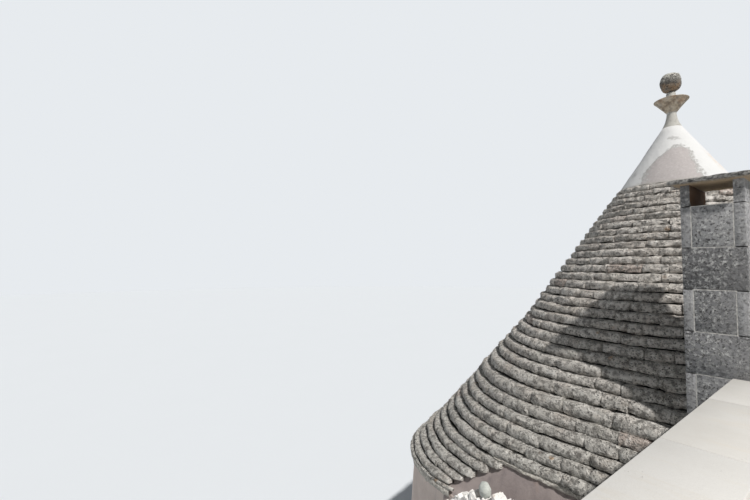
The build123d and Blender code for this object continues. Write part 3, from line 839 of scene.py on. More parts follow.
def laySlab(bm, draw, shapes, course, cut, length, atEnd):
    level, height, half, corner = course
    shape = draw.choice(shapes)
    tone, warmth = draw.random(), draw.random()
    proud = max(-roof["proudest"], min(roof["proudest"], draw.gauss(0, roof["proud"])))
    swing = draw.uniform(-roof["swing"], roof["swing"])
    heave = draw.uniform(-roof["heave"], roof["heave"])
    tall = draw.uniform(*roof["tall"])
    craggy = between((level - eaveHeight) / 3.5, roof["craggy"])
    marks = bm.verts.layers.float_color["stone"]
    count = len(bm.verts)
    bm.from_mesh(shape)
    bm.verts.ensure_lookup_table()
    for vert in bm.verts[count:]:
        along, out, rise = vert.co
        run = cut + roof["joint"] / 2 + along * (length - roof["joint"])
        place, outward = alongSquare(half, corner, run)
        shift = Vector((0, 0, 0))
        if out > -0.9:
            spot = place + up * (level + rise * height)
            depth = proud + swing * (along - 0.5) * length
            depth += 0.009 * wobble(spot, 8) + craggy * draw.uniform(-1, 1)
            if atEnd and along > 0.5:                # a broken end tapers to a rounded tip
                fade = ((along - 0.5) * 2) ** 3
                depth -= 0.30 * height * fade
                rise += (0.45 - rise) * 0.42 * fade
            ragged = 0.006 * wobble(spot, 11, 4) + 0.004 * wobble(spot, 27, 6)
            shift = outward * depth + up * (craggy * draw.uniform(-0.8, 0.8) + ragged)
        # how open the spot is to light: low under the lips, on the ledges and at the ends, where the roof's
        # finish paints shade
        openToLight = min((rise + 0.02) / 0.2, (out + 0.82) / 0.30, 0.60 + 12 * min(along, 1 - along))
        fresh = 1.0 if atEnd and along > 0.96 else 0.0
        vert[marks] = (tone, warmth, max(0.0, min(1.0, openToLight)), fresh)
        z = level + rise * height * tall + heave + roof["sag"] * wobble(place, 1.6, level * 5)
        vert.co = place + outward * out * height + shift + up * (z + lifted(place, z))


def layBacking(bm, start, end):
    # a sheet behind the slabs, painted dark as shade; it shows only in the gaps between them
    columns = roof["backingColumns"]
    rings = [(level, half, corner) for level, height, half, corner in courses[start:end]]
    head = courses[end - 1][0] + courses[end - 1][1]
    rings.append((head, *roofAt(head)))

    def place(column, row):
        level, half, corner = rings[row]
        half, corner = half - roof["backing"], corner - roof["backing"]
        return alongSquare(half, corner, lengthRound(half, corner) * column / columns)[0] + up * level

    # open to no light, so the roof's finish paints it as shade
    toned(bm, gridOn(bm, columns, len(rings) - 1, place), (0.3, 0.3, 0, 0))


layRoof()
print("stage: roof courses")


# Plaster tip and finial

tip = {
    "cuts": 12, "segments": 96, "wave": 0.006, "lap": 0.010, "droop": 0.010, "edge": 0.008,
    "still": 0.02, "stillAbove": 0.97, "raggedBelow": 0.03,
}
finial = {
    # outline, from foot to head: share of the widest radius past the least one, share of the height
    "finialNeck": {
        "node": "finial_neck", "least": 0.05, "segments": 64, "cuts": 2,
        "rough": 0, "scale": 1, "heave": 0, "smoothTo": 0,
        "outline": [(1, 0), (0.80, 0.12), (0.52, 0.3), (0.30, 0.5), (0.10, 0.75), (0, 1)],
    },
    "finialDish": {
        "node": "finial_dish", "least": 0, "segments": 96, "cuts": 1,
        "rough": 0.022, "scale": 16, "heave": 0.003, "smoothTo": 0.08,
        "outline": [(0.27, 0), (0.30, 0.05), (0.47, 0.30), (0.68, 0.56), (0.86, 0.78), (0.975, 0.91),
                    (1.0, 0.945), (0.985, 0.975), (0.90, 0.985), (0.5, 1.0)],
    },
    "finialPad": {
        "node": "finial_pad", "least": 0, "segments": 40, "cuts": 1,
        "rough": 0.10, "scale": 20, "heave": 0, "smoothTo": 0,
        "outline": [(1.0, 0.0), (1.03, 0.12), (0.98, 0.55), (0.90, 0.88), (0.78, 1.0)],
    },
}


def makeTip():
    low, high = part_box("plaster_tip")
    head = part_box("finial_neck")[1].x
    skirt = sum(roof["heights"]) + eaveHeight + 0.002   # the plaster comes down to the top course's head
    foot = high.x + (high.x - head) * (low.z - skirt) / (high.z - low.z)
    edge = tip["edge"]
    outline = [(0.0, skirt), (foot - edge - 0.002, skirt), (foot, skirt + edge),
               (head, high.z), (0.0, high.z)]
    bm = turned(outline, tip["segments"], tip["cuts"])
    for vert in bm.verts:
        flat = Vector((vert.co.x, vert.co.y, 0))
        radius = flat.length
        share = (vert.co.z - skirt) / (high.z - skirt)
        if radius < tip["still"] or share > tip["stillAbove"]:
            continue
        outward = flat / radius
        ripple = tip["wave"] * (wobble(vert.co, 3.5) + 0.5 * wobble(vert.co, 11, 3))
        vert.co += outward * ripple * min(1, radius * 5)
        if share < tip["raggedBelow"]:
            droop = tip["droop"] * (0.5 + wobble(outward, 9, 2))
            vert.co += outward * tip["lap"] * wobble(outward, 5, 8) - up * droop
    addPiece("plasterTip", bm, tipPlaster, "white_plaster", "plaster_tip", sharp=60)


def makeFinial():
    for name, how in finial.items():
        low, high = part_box(how["node"])
        outline = [(how["least"] + (high.x - how["least"]) * out, low.z + (high.z - low.z) * rise)
                   for out, rise in how["outline"]]
        bm = turned([(0, low.z), *outline, (0, high.z)], how["segments"], how["cuts"])
        for vert in bm.verts:
            flat = Vector((vert.co.x, vert.co.y, 0))
            if flat.length > how["smoothTo"]:
                swell = flat * how["rough"] * wobble(vert.co, how["scale"])
                vert.co += swell + up * how["heave"] * wobble(vert.co, 12, 5)
        addPiece(name, bm, turnedStone, "cream_stone", how["node"])

    def shape(way):
        lump = 0.055 * wobble(way, 1.6, 3) + 0.030 * wobble(way, 4.5, 1) + 0.022 * wobble(way, 11, 2)
        pit = min(0.0, wobble(way, 8, 9) + 0.18) * 0.10
        boxy = 1 + 0.17 * (0.62 - abs(way.x) ** 4 - abs(way.y) ** 4 - abs(way.z) ** 4)
        return 0.985 * boxy * (1 + lump + pit)

    low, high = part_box("finial_ball")
    bm = ball((low + high) / 2, (high - low) / 2, 6, shape)
    addPiece("finialBall", bm, ballStone, "weathered_stone", "finial_ball", sharp=60)


makeTip()
makeFinial()
print("stage: tip and finial")


# Chimney

def makeShaft():
    low, high = chimneyBox
    slab = chimney["slab"]
    beside = slab + chimney["joint"]
    draw = random.Random(5)
    bm = stoneMesh()
    top, number = high.z, 0

    def lay(x0, y0, x1, y1, tone, bevel=0.004):
        block(bm, (x0, y0, foot), (x1, y1, top - chimney["joint"]), tone, bevel)

    while top > low.z + chimney["least"]:
        foot = max(low.z, top - chimney["course"])
        known = number < len(chimney["lightness"])
        tone = chimney["lightness"][number] if known else draw.random() * 0.6
        if number % 2 == 0:                          # a narrow slab between the edges of two side slabs
            for x in (low.x, high.x - slab):
                side = (0.75 + 0.25 * draw.random(), 1, 0, 1)
                lay(x, low.y, x + slab, high.y, side, chimney["sideBevel"])
            for y in (low.y, high.y - slab):
                lay(low.x + beside, y, high.x - beside, y + slab, (tone, 0, 0, 1))
        else:                                        # a slab of full width
            for y in (low.y, high.y - slab):
                lay(low.x, y, high.x, y + slab, (tone, 0.1, 0, 1))
            for x in (low.x, high.x - slab):
                side = (0.55 + 0.3 * draw.random(), 0.6, 0, 1)
                lay(x, low.y + beside, x + slab, high.y - beside, side, chimney["sideBevel"])
        top, number = top - chimney["course"], number + 1
    addPiece("chimneySlabs", bm, tufaSlab, "tufa", "chimney_shaft")

    inset = chimney["inset"]
    bm = bmesh.new()
    for x0, y0, x1, y1 in ((low.x, low.y, high.x, low.y + slab), (low.x, high.y - slab, high.x, high.y),
                           (low.x, low.y, low.x + slab, high.y), (high.x - slab, low.y, high.x, high.y)):
        block(bm, (x0 + inset, y0 + inset, low.z), (x1 - inset, y1 - inset, high.z - inset), bevel=0)
    addPiece("chimneyJoints", bm, jointMortar, "tufa")


def makeHead():
    low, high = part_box("chimney_sides")
    slab = chimney["slab"]
    bm = stoneMesh()
    for side, inner in ((low.x, low.x + slab), (high.x - slab, high.x - slab)):
        count = len(bm.verts)
        block(bm, (side, low.y, low.z), (side + slab, high.y, high.z), cuts=2, rough=0.003)
        for vert in bm.verts[count:]:
            toned(bm, [vert], (0.35, 0.5, 1.0 if abs(vert.co.x - inner) < 0.012 else 0.0, 1))
    addPiece("chimneyHeadSlabs", bm, tufaSlab, "tufa", "chimney_sides")


capSlab = {
    "steps": (26, 20, 4), "ragged": 0.009, "fine": 0.006, "rim": 0.97, "rounded": 0.004,
    "thinsFrom": 0.72, "thinsBy": 0.010, "rough": 0.003,
}


def makeCap():
    low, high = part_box("chimney_cap")
    size, middle = high - low, (low + high) / 2
    steps, thinsFrom = capSlab["steps"], capSlab["thinsFrom"]
    bm = bmesh.new()
    for axis, across, along in ((0, 1, 2), (1, 0, 2), (2, 0, 1)):
        for end in (0, 1):
            def place(column, row):
                spot = low.copy()
                for n, share in ((axis, end), (across, column / steps[across]), (along, row / steps[along])):
                    spot[n] += share * size[n]
                return spot
            gridOn(bm, steps[across], steps[along], place)
    bmesh.ops.remove_doubles(bm, verts=bm.verts[:], dist=1e-5)
    faceOut(bm)
    for vert in bm.verts:
        away = vert.co - middle
        reach = max(abs(away.x) / size.x, abs(away.y) / size.y) * 2
        level = away.z / size.z * 2
        ragged = capSlab["ragged"] * (wobble(vert.co, 14, 2) - 0.10)
        ragged += capSlab["fine"] * wobble(vert.co, 40, 6)
        if reach > capSlab["rim"]:
            ragged -= capSlab["rounded"] * level * level
            vert.co += Vector((away.x, away.y, 0)).normalized() * ragged
        thinner = capSlab["thinsBy"] * level * max(0.0, reach - thinsFrom) / (1 - thinsFrom)
        vert.co.z -= thinner - capSlab["rough"] * wobble(vert.co, 18, 5)
    addPiece("chimneyCap", bm, capStone, "tufa", "chimney_cap", sharp=60)


makeShaft()
makeHead()
makeCap()
print("stage: chimney")


# Coping, paving and dressed stone

coping = {
    "slab": 0.87, "joint": 0.003, "jointAt": -2.89, "bevel": 0.005, "uneven": 0.0015,
    "width": 0.335, "lap": 0.03, "drip": 0.022,
}
surround = {
    "opening": 0.9, "head": 2.02, "levels": (0, 0.28, 0.44, 0.73, 1), "joint": 0.004, "bevel": 0.006,
    "doorFace": -2.515, "wingDoorFace": -7.065,
}
floors = {
    "row": 0.34, "rowShares": (0.85, 1.15), "leastRow": 0.5,
    "shortest": 0.42, "longest": 0.78, "remnant": 0.6, "least": 0.02, "joint": 0.005, "bevel": 0.003,
    "proud": 0.005, "uneven": 0.0015, "sunk": 0.02,
}


def slabRow(bm, draw, low, high, axis, cuts):
    # slabs side by side along one axis, between the given cuts
    for first, second in zip(cuts, cuts[1:]):
        a, b = Vector(low), Vector(high)
        a[axis], b[axis] = first + coping["joint"] / 2, second - coping["joint"] / 2
        b.z -= draw.uniform(0, coping["uneven"])
        block(bm, a, b, (draw.random(), draw.random(), 0, 1), coping["bevel"])


def makeCoping():
    low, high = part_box("terrace_coping")
    low.x -= coping["drip"]                          # a little further over the wall on the roof side
    width = coping["width"]
    inner = low.x + coping["drip"] + width
    draw = random.Random(3)
    bm = stoneMesh()
    sides = spread(low.y, high.y, coping["slab"], [coping["jointAt"]])
    ends = spread(inner, high.x - width, coping["slab"])
    slabRow(bm, draw, low, (inner, high.y, high.z), 1, sides)
    slabRow(bm, draw, (high.x - width, low.y, low.z), high, 1, sides)
    slabRow(bm, draw, low, (high.x, low.y + width, high.z), 0, ends)
    slabRow(bm, draw, (low.x, high.y - width + coping["lap"], low.z), high, 0, ends)
    addPiece("copingSlabs", bm, copingStone, "dressed_stone", "terrace_coping")


def layPaving(name, draw, top, *areas):
    bm = stoneMesh()
    gap = floors["joint"] / 2
    for x0, y0, x1, y1 in areas:
        y = y0
        while y < y1 - floors["least"]:
            row = floors["row"] * draw.uniform(*floors["rowShares"])
            if y1 - y - row < floors["row"] * floors["leastRow"]:
                row = y1 - y
            x = x0
            while x < x1 - floors["least"]:
                length = draw.uniform(floors["shortest"], floors["longest"])
                if x1 - x - length < floors["shortest"] * floors["remnant"]:
                    length = x1 - x
                head = top + floors["proud"] + draw.uniform(-floors["uneven"], floors["uneven"])
                block(bm, (x + gap, y + gap, top - floors["sunk"]), (x + length - gap, y + row - gap, head),
                      (draw.random(), draw.random(), 0, 1), floors["bevel"])
                x += length
            y += row
    addPiece(name, bm, pavingStone, "paving_stone")


def makePaving():
    draw = random.Random(21)
    half = surround["opening"] / 2
    low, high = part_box("terrace_paving")
    layPaving("terraceSlabs", draw, high.z, (low.x, low.y, high.x, high.y))

    low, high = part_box("wing_floor")
    wallLow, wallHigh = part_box("wing_left_wall")
    doorLow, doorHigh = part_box("wing_door_surround")
    middle = (doorLow.x + doorHigh.x) / 2
    layPaving("wingFloorSlabs", draw, high.z, (wallHigh.x, wallLow.y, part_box("wing_right_wall")[0].x, high.y),
              (middle - half, low.y, middle + half, wallLow.y))

    low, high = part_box("trullo_floor")
    room = high.x
    hearthLow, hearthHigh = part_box("hearth_breast")
    layPaving("trulloFloorSlabs", draw, high.z, (-room, -room, room, room), (low.x, -half, -room, half),
              (hearthLow.x, low.y, hearthHigh.x, -room))


def makeSurround(name, node, across, face, lean):
    # a doorway's jambs in blocks, and its lintel; face is the outer end of axis 1 - across
    low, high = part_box(node)
    deep = 1 - across
    opening, gap = surround["opening"] / 2, surround["joint"] / 2
    middle = (low[across] + high[across]) / 2
    draw = random.Random(len(name))
    bm = stoneMesh()

    def lay(start, end, foot, top):
        a, b = Vector(low), Vector(high)
        a[across], b[across], a.z, b.z = start + gap, end - gap, foot + gap, top - gap
        b[deep] = face
        block(bm, a, b, (draw.random(), draw.random(), 0, 1), surround["bevel"], cuts=1, rough=0.002, scale=9)

    levels = [low.z + share * (surround["head"] - low.z) for share in surround["levels"]]
    for start, end in ((low[across], middle - opening), (middle + opening, high[across])):
        for foot, top in zip(levels, levels[1:]):
            lay(start, end, foot, top)
    lay(low[across], high[across], surround["head"], high.z)
    for vert in bm.verts:
        if vert.co[deep] < low[deep] + 0.1:
            vert.co[deep] += lean * (vert.co.z - low.z)
    addPiece(name, bm, dressedStone, "dressed_stone", node)


makeCoping()
makePaving()
makeSurround("doorStones", "door_surround", 1, surround["doorFace"], wallLean)
makeSurround("wingDoorStones", "wing_door_surround", 0, surround["wingDoorFace"], 0.0)
print("stage: coping and paving")


# Coats of render and plaster on the walls

coats = {
    "proud": 0.006, "thick": 0.02, "step": 0.14, "rise": 0.16,
    "wingStep": 0.22, "wingRise": 0.2, "wingWave": 0.003, "hole": 0.2,
    "radius": 0.03, "turns": (22.5, 45, 67.5),      # of the wing's corners
    "corner": 1.63, "doorHalf": 0.60, "doorTop": 2.22, "facingRun": 1.82, "lap": 0.03, "reach": 0.06,
}


def coat(name, spots, levels, lean, holes, finish, slot, wave=0.004):
    # spots are places along the foot of a wall with their outward directions; holes are boxes left open
    bm = bmesh.new()

    def place(column, row):
        spot, out = spots[column]
        ripple = wave * wobble(spot + up * levels[row], 1.3)
        return spot + out * (coats["proud"] + ripple - lean * levels[row]) + up * levels[row]

    def isOpen(face):
        middle = face.calc_center_median()
        return any(all(a < v < b for v, a, b in zip(middle, low, high)) for low, high in holes)

    gridOn(bm, len(spots) - 1, len(levels) - 1, place)
    bmesh.ops.delete(bm, geom=[face for face in bm.faces if isOpen(face)], context="FACES")
    bmesh.ops.solidify(bm, geom=bm.faces[:], thickness=coats["thick"])
    faceOut(bm)
    addPiece(name, bm, finish, slot, sharp=30)


def makeTrulloCoat():
    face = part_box("back_wall")[1].y
    around = lengthRound(face, coats["corner"])
    door, half = around / 2, coats["doorHalf"]
    wing = around * 0.75 + wingLeft
    runs = [(wing + coats["facingRun"], around + door - half, 0.0), (door + half, wing, 0.0),
            (door - half, door + half, coats["doorTop"])]
    for number, (start, end, foot) in enumerate(runs, 1):
        spots = [alongSquare(face, coats["corner"], run) for run in spread(start, end, coats["step"])]
        levels = spread(foot, eaveHeight, coats["rise"])
        coat(f"trulloCoat{number}", spots, levels, wallLean, (), greyRender, "grey_render")


def makeWingCoat():
    low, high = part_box("terrace_parapet")
    doorLow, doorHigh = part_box("wing_door_surround")
    frameLow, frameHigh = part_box("window_frame")
    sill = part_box("window_sill_stone")[0].z
    lap, radius, hole = coats["lap"], coats["radius"], coats["hole"]
    doorLeft, doorRight, doorTop = doorLow.x + lap, doorHigh.x - lap, doorHigh.z - lap
    corners = [Vector((low.x, high.y, 0)), Vector((low.x, low.y, 0)), Vector((high.x, low.y, 0)),
               Vector((high.x, high.y, 0)), Vector((low.x + coats["reach"], high.y, 0))]
    stops = ((), (doorLeft - low.x, doorRight - low.x), (frameLow.y - low.y, frameHigh.y - low.y), ())
    spots = []
    for start, end, sideStops in zip(corners, corners[1:], stops):
        way = (end - start).normalized()
        out = Vector((way.y, -way.x, 0))
        for run in spread(radius, (end - start).length - radius, coats["wingStep"], sideStops):
            spots.append((start + way * run, out))
        if end is not corners[-1]:
            for angle in coats["turns"]:
                a = math.radians(angle)
                direction = out * math.cos(a) + way * math.sin(a)
                spots.append((end - (way + out) * radius + direction * radius, direction))
    levels = spread(0, high.z, coats["wingRise"], [sill, frameHigh.z, doorTop])
    holes = [((high.x - hole, frameLow.y, sill), (high.x + hole, frameHigh.y, frameHigh.z)),
             ((doorLeft, low.y - hole, -1), (doorRight, low.y + hole, doorTop))]
    coat("wingCoat", spots, levels, 0, holes, wingPlaster, "lime_plaster", coats["wingWave"])


makeTrulloCoat()
makeWingCoat()
print("stage: coats")


# Whitewashed rubble facing on the front

facing = {
    "row": 0.16, "rowShares": (0.7, 1.25), "deep": 0.05, "widths": (0.10, 0.30), "least": 0.03,
    # the wall between the stones
    "back": -2.762, "behind": 0.022, "uneven": 0.008, "columns": 80, "rows": 20,
    # broken upper edge: run from the left end, and drop below the top
    "edge": [(0, 0.50), (0.07, 0.455), (0.18, 0.36), (0.33, 0.24), (0.47, 0.17), (0.49, 0.135), (0.55, 0.09),
             (0.62, 0.08), (0.655, 0.085), (0.76, 0.13), (0.84, 0.115), (0.91, 0.083), (1.02, 0.045),
             (1.33, 0.04), (2.34, 0.0)],
    # how far the wall and its shards stay below that edge, and below the rounded stone
    "wallDrop": (0.09, 0.17), "shardDrop": (0.035, 0.13), "underStone": (0.45, 0.67),
    "shardWidth": (0.014, 0.036), "shardHeight": (0.030, 0.060),
    "shardDepths": (0.06, 0.12), "shardDeep": 0.045,
    "shardsFrom": 0.03, "shardsTo": 0.05, "shardStep": 1.25,
}
caught = {"run": 0.555, "y": -2.81, "drop": 0.16, "size": (0.062, 0.05, 0.078)}


def rubbleStone(bm, draw, centre, size, tilt=0.0, point=0.0):
    # an angular stone: the hull of scattered corners
    turn = Matrix.Rotation(tilt, 3, "Y")
    tone = (draw.random(), draw.random(), 0, 1)
    corners = []
    for x in (-1, 1):
        for y in (-1, 1):
            for z in (-1, 0, 1):
                spot = Vector((x, y, z)) + Vector([draw.uniform(-0.28, 0.28) for axis in range(3)])
                if z == 1:
                    spot.x *= 1 - point * draw.uniform(0.7, 1.0)
                    spot.z += point * draw.uniform(-0.5, 0.3)
                spot = Vector([spot[axis] * size[axis] for axis in range(3)]) * 0.88
                corners.append(bm.verts.new(centre + turn @ spot))
    toned(bm, corners, tone)
    hull = bmesh.ops.convex_hull(bm, input=corners)
    loose = [item for item in hull["geom_interior"] if isinstance(item, bmesh.types.BMVert)]
    bmesh.ops.delete(bm, geom=loose, context="VERTS")


def makeFacing():
    low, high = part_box("rubble_facing")
    draw = random.Random(8)
    bm = stoneMesh()

    def topAt(x, drops=(0, 0)):
        run = x - low.x
        first, last = facing["underStone"]
        drop = drops[1] if first < run < last else drops[0]
        for (run0, drop0), (run1, drop1) in zip(facing["edge"], facing["edge"][1:]):
            if run <= run1:
                return high.z - drop0 - (drop1 - drop0) * (run - run0) / (run1 - run0) - drop
        return high.z - drop

    z = 0.0
    while z < high.z - facing["least"]:
        tall = min(facing["row"] * draw.uniform(*facing["rowShares"]), high.z - z)
        x = low.x
        while x < high.x - facing["least"]:
            wide = draw.uniform(*facing["widths"])
            if high.x - x - wide < facing["widths"][0]:
                wide = high.x - x
            centreX, centreZ = x + wide / 2, z + tall / 2
            if z + tall < topAt(centreX) - facing["wallDrop"][0]:
                centre = Vector((centreX, low.y + wallLean * centreZ + facing["deep"] * 0.9, centreZ))
                size = (wide * 0.54, facing["deep"], tall * 0.56)
                rubbleStone(bm, draw, centre, size, draw.uniform(-0.06, 0.06))
            x += wide
        z += tall

    def core(column, row):
        x = low.x + (high.x - low.x) * column / facing["columns"]
        level = topAt(x, facing["wallDrop"]) * row / facing["rows"]
        uneven = facing["uneven"] * wobble(Vector((x, 0, level)), 7)
        return Vector((x, low.y + wallLean * level + facing["behind"] + uneven, level))

    front = gridOn(bm, facing["columns"], facing["rows"], core)
    toned(bm, front, (0.5, 0.5, 0, 1))
    faces = list({face for vert in front for face in vert.link_faces})
    wall = bmesh.ops.extrude_face_region(bm, geom=faces)
    for item in wall["geom"]:
        if isinstance(item, bmesh.types.BMVert):
            item.co.y = facing["back"]

    x = low.x + facing["shardsFrom"]
    while x < high.x - facing["shardsTo"]:           # broken stones stand up along the edge
        wide, height = draw.uniform(*facing["shardWidth"]), draw.uniform(*facing["shardHeight"])
        top = topAt(x, facing["shardDrop"])
        for depth in facing["shardDepths"]:
            sunk = height * draw.uniform(0.95, 1.25)
            centre = Vector((x + draw.uniform(-0.02, 0.02), low.y + wallLean * top + depth, top - sunk))
            size = (wide, facing["shardDeep"], height)
            rubbleStone(bm, draw, centre, size, draw.uniform(-0.5, 0.5), draw.uniform(0.6, 1.0))
        x += wide * facing["shardStep"]
    for vert in bm.verts:
        vert.co.z = max(vert.co.z, 0.0)
    faceOut(bm)
    addPiece("facingStones", bm, whiteRubble, "white_rubble", "rubble_facing", sharp=24)

    # a rounded grey-green stone caught in the edge
    centre = Vector((low.x + caught["run"], caught["y"], high.z - caught["drop"]))

    def shape(way):
        return 1 + 0.12 * wobble(way, 1.7, 5) + 0.04 * wobble(way, 5, 2)

    bm = ball(centre, caught["size"], 4, shape)
    addPiece("roundStone", bm, roundStone, "white_rubble")


# Rendered bed where the lowest courses have gone

bed = {
    "below": 0.12, "past": 0.12, "under": 0.07, "slope": 0.27, "onWall": 0.010, "onBed": 0.008,
    "over": 0.01, "blendFrom": 0.04, "blendOver": 0.10,
    "thick": 0.015, "ripple": 0.005, "columns": 70, "rows": 20,
    # rough mortar: outward and upward, from its foot to its head
    "mortar": [(-0.055, -0.062), (-0.018, -0.044), (0.004, -0.022), (0.004, 0.004), (-0.030, 0.016)],
    "lap": 0.10, "step": 0.02, "steps": 150,
}


def makeBedRender():
    # one smooth sheet, down to the wall's head
    low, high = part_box("rendered_bed")
    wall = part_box("back_wall")[1].y
    slope = bed["slope"] / (high.z - low.z)
    foot = eaveHeight - bed["below"]
    levels = [eaveHeight - bed["over"]]
    levels += [level + height / 2 for level, height, half, corner in courses[:wholeFrom]]
    ends = [low.x - bed["past"]] + [end - bed["under"] for end in roof["brokenAt"]]

    def leftEnd(z):
        for (z0, end0), (z1, end1) in zip(zip(levels, ends), zip(levels[1:], ends[1:])):
            if z <= z1:
                return between(max(0.0, (z - z0) / (z1 - z0)), (end0, end1))
        return ends[-1]

    def place(column, row):
        z = foot + (high.z + bed["over"] - foot) * row / bed["rows"]
        x = between(column / bed["columns"], (leftEnd(z), high.x))
        onWall = -(wall - wallLean * z) - bed["onWall"]
        onBed = low.y - bed["onBed"] + slope * max(0.0, z - eaveHeight)
        blend = max(0.0, min(1.0, (z - eaveHeight + bed["blendFrom"]) / bed["blendOver"]))
        ripple = bed["ripple"] * wobble(Vector((x, 0, z)), 3.2)
        return Vector((x, between(blend, (onWall, onBed)) + ripple, z))

    bm = bmesh.new()
    gridOn(bm, bed["columns"], bed["rows"], place)
    bmesh.ops.solidify(bm, geom=bm.faces[:], thickness=bed["thick"])
    faceOut(bm)
    addPiece("bedRender", bm, bedMortar, "grey_render", sharp=30)


def makeBedEdge():
    # rough mortar pressed under the first whole course, and along the eave to the broken end
    level, height, half, corner = courses[wholeFrom]
    left, right = roof["brokenAt"][-1] - bed["lap"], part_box("rendered_bed")[1].x
    under = [(Vector((between(n / bed["steps"], (left, right)), -half, level)), Vector((0, -1, 0)))
             for n in range(bed["steps"] + 1)]
    around = lengthRound(*roofAt(eaveHeight))
    eave = [alongSquare(*roofAt(eaveHeight), around / 2 + bed["step"] * n)
            for n in range(int((around / 4 + roof["brokenAt"][0]) / bed["step"]))]
    bm = bmesh.new()
    for spots in (under, [(spot + up * eaveHeight, out) for spot, out in eave]):
        def strip(column, row):
            spot, outward = spots[column]
            out, rise = bed["mortar"][row]
            out += 0.012 * wobble(spot, 13, row) + 0.009 * wobble(spot, 37, row + 3)
            rise += lifted(spot, spot.z) * row / 4 + 0.010 * wobble(spot, 24, row + 9)
            return spot + outward * out + up * rise
        gridOn(bm, len(spots) - 1, len(bed["mortar"]) - 1, strip)
    faceOut(bm)
    addPiece("bedEdge", bm, bedCrust, "grey_render", sharp=60)


makeFacing()
makeBedRender()
makeBedEdge()
print("stage: rubble facing")


# Doors and window

doors = {
    "width": 0.88, "planks": 6, "plank": 0.030, "gap": 0.003,
    "batten": 0.014, "battenHeight": 0.12, "battenEdge": 0.02, "lowest": 0.18, "highest": 0.30,
    "strap": 0.0035, "strapHalf": 0.02, "strapReach": 0.62, "strapAt": 0.24, "strapBevel": 0.0015,
    "sunk": 0.001,              # irons into the wood
    "nails": (0.06, 0.20, 0.34, 0.48), "nail": 0.009, "nailProud": 0.003,
    "lockAt": 0.48, "lockFrom": (0.12, 0.09), "lockTo": (0.05, 0.05), "lockThick": 0.012, "lockBevel": 0.002,
}
window = {
    "bar": 0.07, "mullion": 0.035, "mullionInset": 0.006, "rail": 0.011, "railInset": 0.014,
}


def doorLeaf(timber, draw, ironName, origin, inward, height):
    move = Matrix.Translation(origin) @ Matrix((Vector((1, 0, 0)), inward, up)).transposed().to_4x4()
    width, plank = doors["width"], doors["plank"]
    face = plank + doors["batten"]
    count = len(timber.verts)
    iron = bmesh.new()
    step, gap = width / doors["planks"], doors["gap"] / 2
    boards = [((n * step + gap, 0, 0), ((n + 1) * step - gap, plank, height)) for n in range(doors["planks"])]
    for level in (doors["lowest"], height / 2 - doors["battenHeight"] / 2, height - doors["highest"]):
        boards.append(((doors["battenEdge"], plank, level),
                       (width - doors["battenEdge"], face, level + doors["battenHeight"])))
    for low, high in boards:
        block(timber, low, high, (draw.random(), 0, 0, 1))
    for level in (doors["strapAt"], height - doors["strapAt"]):
        block(iron, (0.0, face - doors["sunk"], level - doors["strapHalf"]),
              (width * doors["strapReach"], face + doors["strap"], level + doors["strapHalf"]),
              bevel=doors["strapBevel"])
        for x in doors["nails"]:
            spot = Matrix.Translation((x, face + doors["nailProud"], level))
            bmesh.ops.create_uvsphere(iron, u_segments=10, v_segments=6, radius=doors["nail"], matrix=spot)
    lock = height * doors["lockAt"]
    (x0, z0), (x1, z1) = doors["lockFrom"], doors["lockTo"]
    block(iron, (width - x0, plank - doors["sunk"], lock - z0),
          (width - x1, plank + doors["lockThick"], lock + z1), bevel=doors["lockBevel"])
    timber.verts.ensure_lookup_table()
    bmesh.ops.transform(timber, matrix=move, verts=timber.verts[count:])
    bmesh.ops.transform(iron, matrix=move, verts=iron.verts[:])
    faceOut(iron)
    addPiece(ironName, iron, forgedIron, "timber")


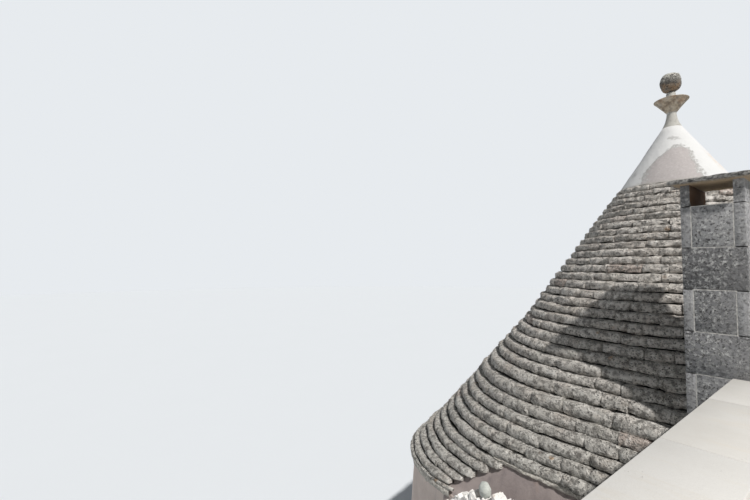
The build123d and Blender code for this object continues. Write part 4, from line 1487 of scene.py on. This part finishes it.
def makeDoors():
    low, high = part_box("door_leaves")
    height, half = high.z - low.z, surround["opening"] / 2
    doorLow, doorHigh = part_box("wing_door_surround")
    hinge = (doorLow.x + doorHigh.x) / 2 + half
    draw = random.Random(17)
    timber = stoneMesh()
    doorLeaf(timber, draw, "trulloDoorIrons", Vector((low.x, half, low.z)), Vector((0, -1, 0)), height)
    doorLeaf(timber, draw, "wingDoorIrons", Vector((hinge, low.y, low.z)), Vector((0, 1, 0)), height)
    faceOut(timber)
    addPiece("doorPlanks", timber, doorTimber, "timber", "door_leaves")


def makeWindow():
    low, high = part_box("window_frame")
    draw = random.Random(2)
    bm = stoneMesh()
    middle = (low + high) / 2
    left, right, foot, head = (low.y + window["bar"], high.y - window["bar"],
                               low.z + window["bar"], high.z - window["bar"])
    mullion, rail = window["mullion"], window["rail"]
    for y0, y1, z0, z1, inset in (
            (low.y, left, low.z, high.z, 0),
            (right, high.y, low.z, high.z, 0),
            (left, right, low.z, foot, 0),
            (left, right, head, high.z, 0),
            (middle.y - mullion, middle.y + mullion, foot, head, window["mullionInset"]),
            (left, middle.y - mullion, middle.z - rail, middle.z + rail, window["railInset"]),
            (middle.y + mullion, right, middle.z - rail, middle.z + rail, window["railInset"])):
        block(bm, (low.x + inset, y0, z0), (high.x - inset, y1, z1), (draw.random(), 0, 0, 1))
    addPiece("windowFrame", bm, doorTimber, "timber", "window_frame")

    bm = stoneMesh()
    block(bm, *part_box("window_sill_stone"), (0.6, 0.5, 0, 1), 0.006, cuts=2, rough=0.0015)
    addPiece("windowSill", bm, dressedStone, "dressed_stone", "window_sill_stone")


makeDoors()
makeWindow()
print("stage: doors and window")


# Finishes of the pieces that stay as they are in the frame

kept = {
    greyRender: "back_wall right_wall front_wall_left front_wall_right hearth_back hearth_breast "
                "door_wall_left door_wall_right wall_over_door",
    bedMortar: "rendered_bed",
    jointMortar: "trullo_floor wing_floor terrace_paving",
    corbelStone: "corbelled_dome closing_slab",
    wingPlaster: "wing_left_wall wing_right_wall wing_back_wall wing_front_wall_left wing_front_wall_right "
                 "wing_wall_over_door terrace_parapet wing_roof_slab",
    windowPane: "window_glass",
}
for finish, nodes in kept.items():
    for node in nodes.split():
        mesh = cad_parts[node].data
        mesh.materials.clear()
        mesh.materials.append(finish.material)
print("stage: kept pieces")
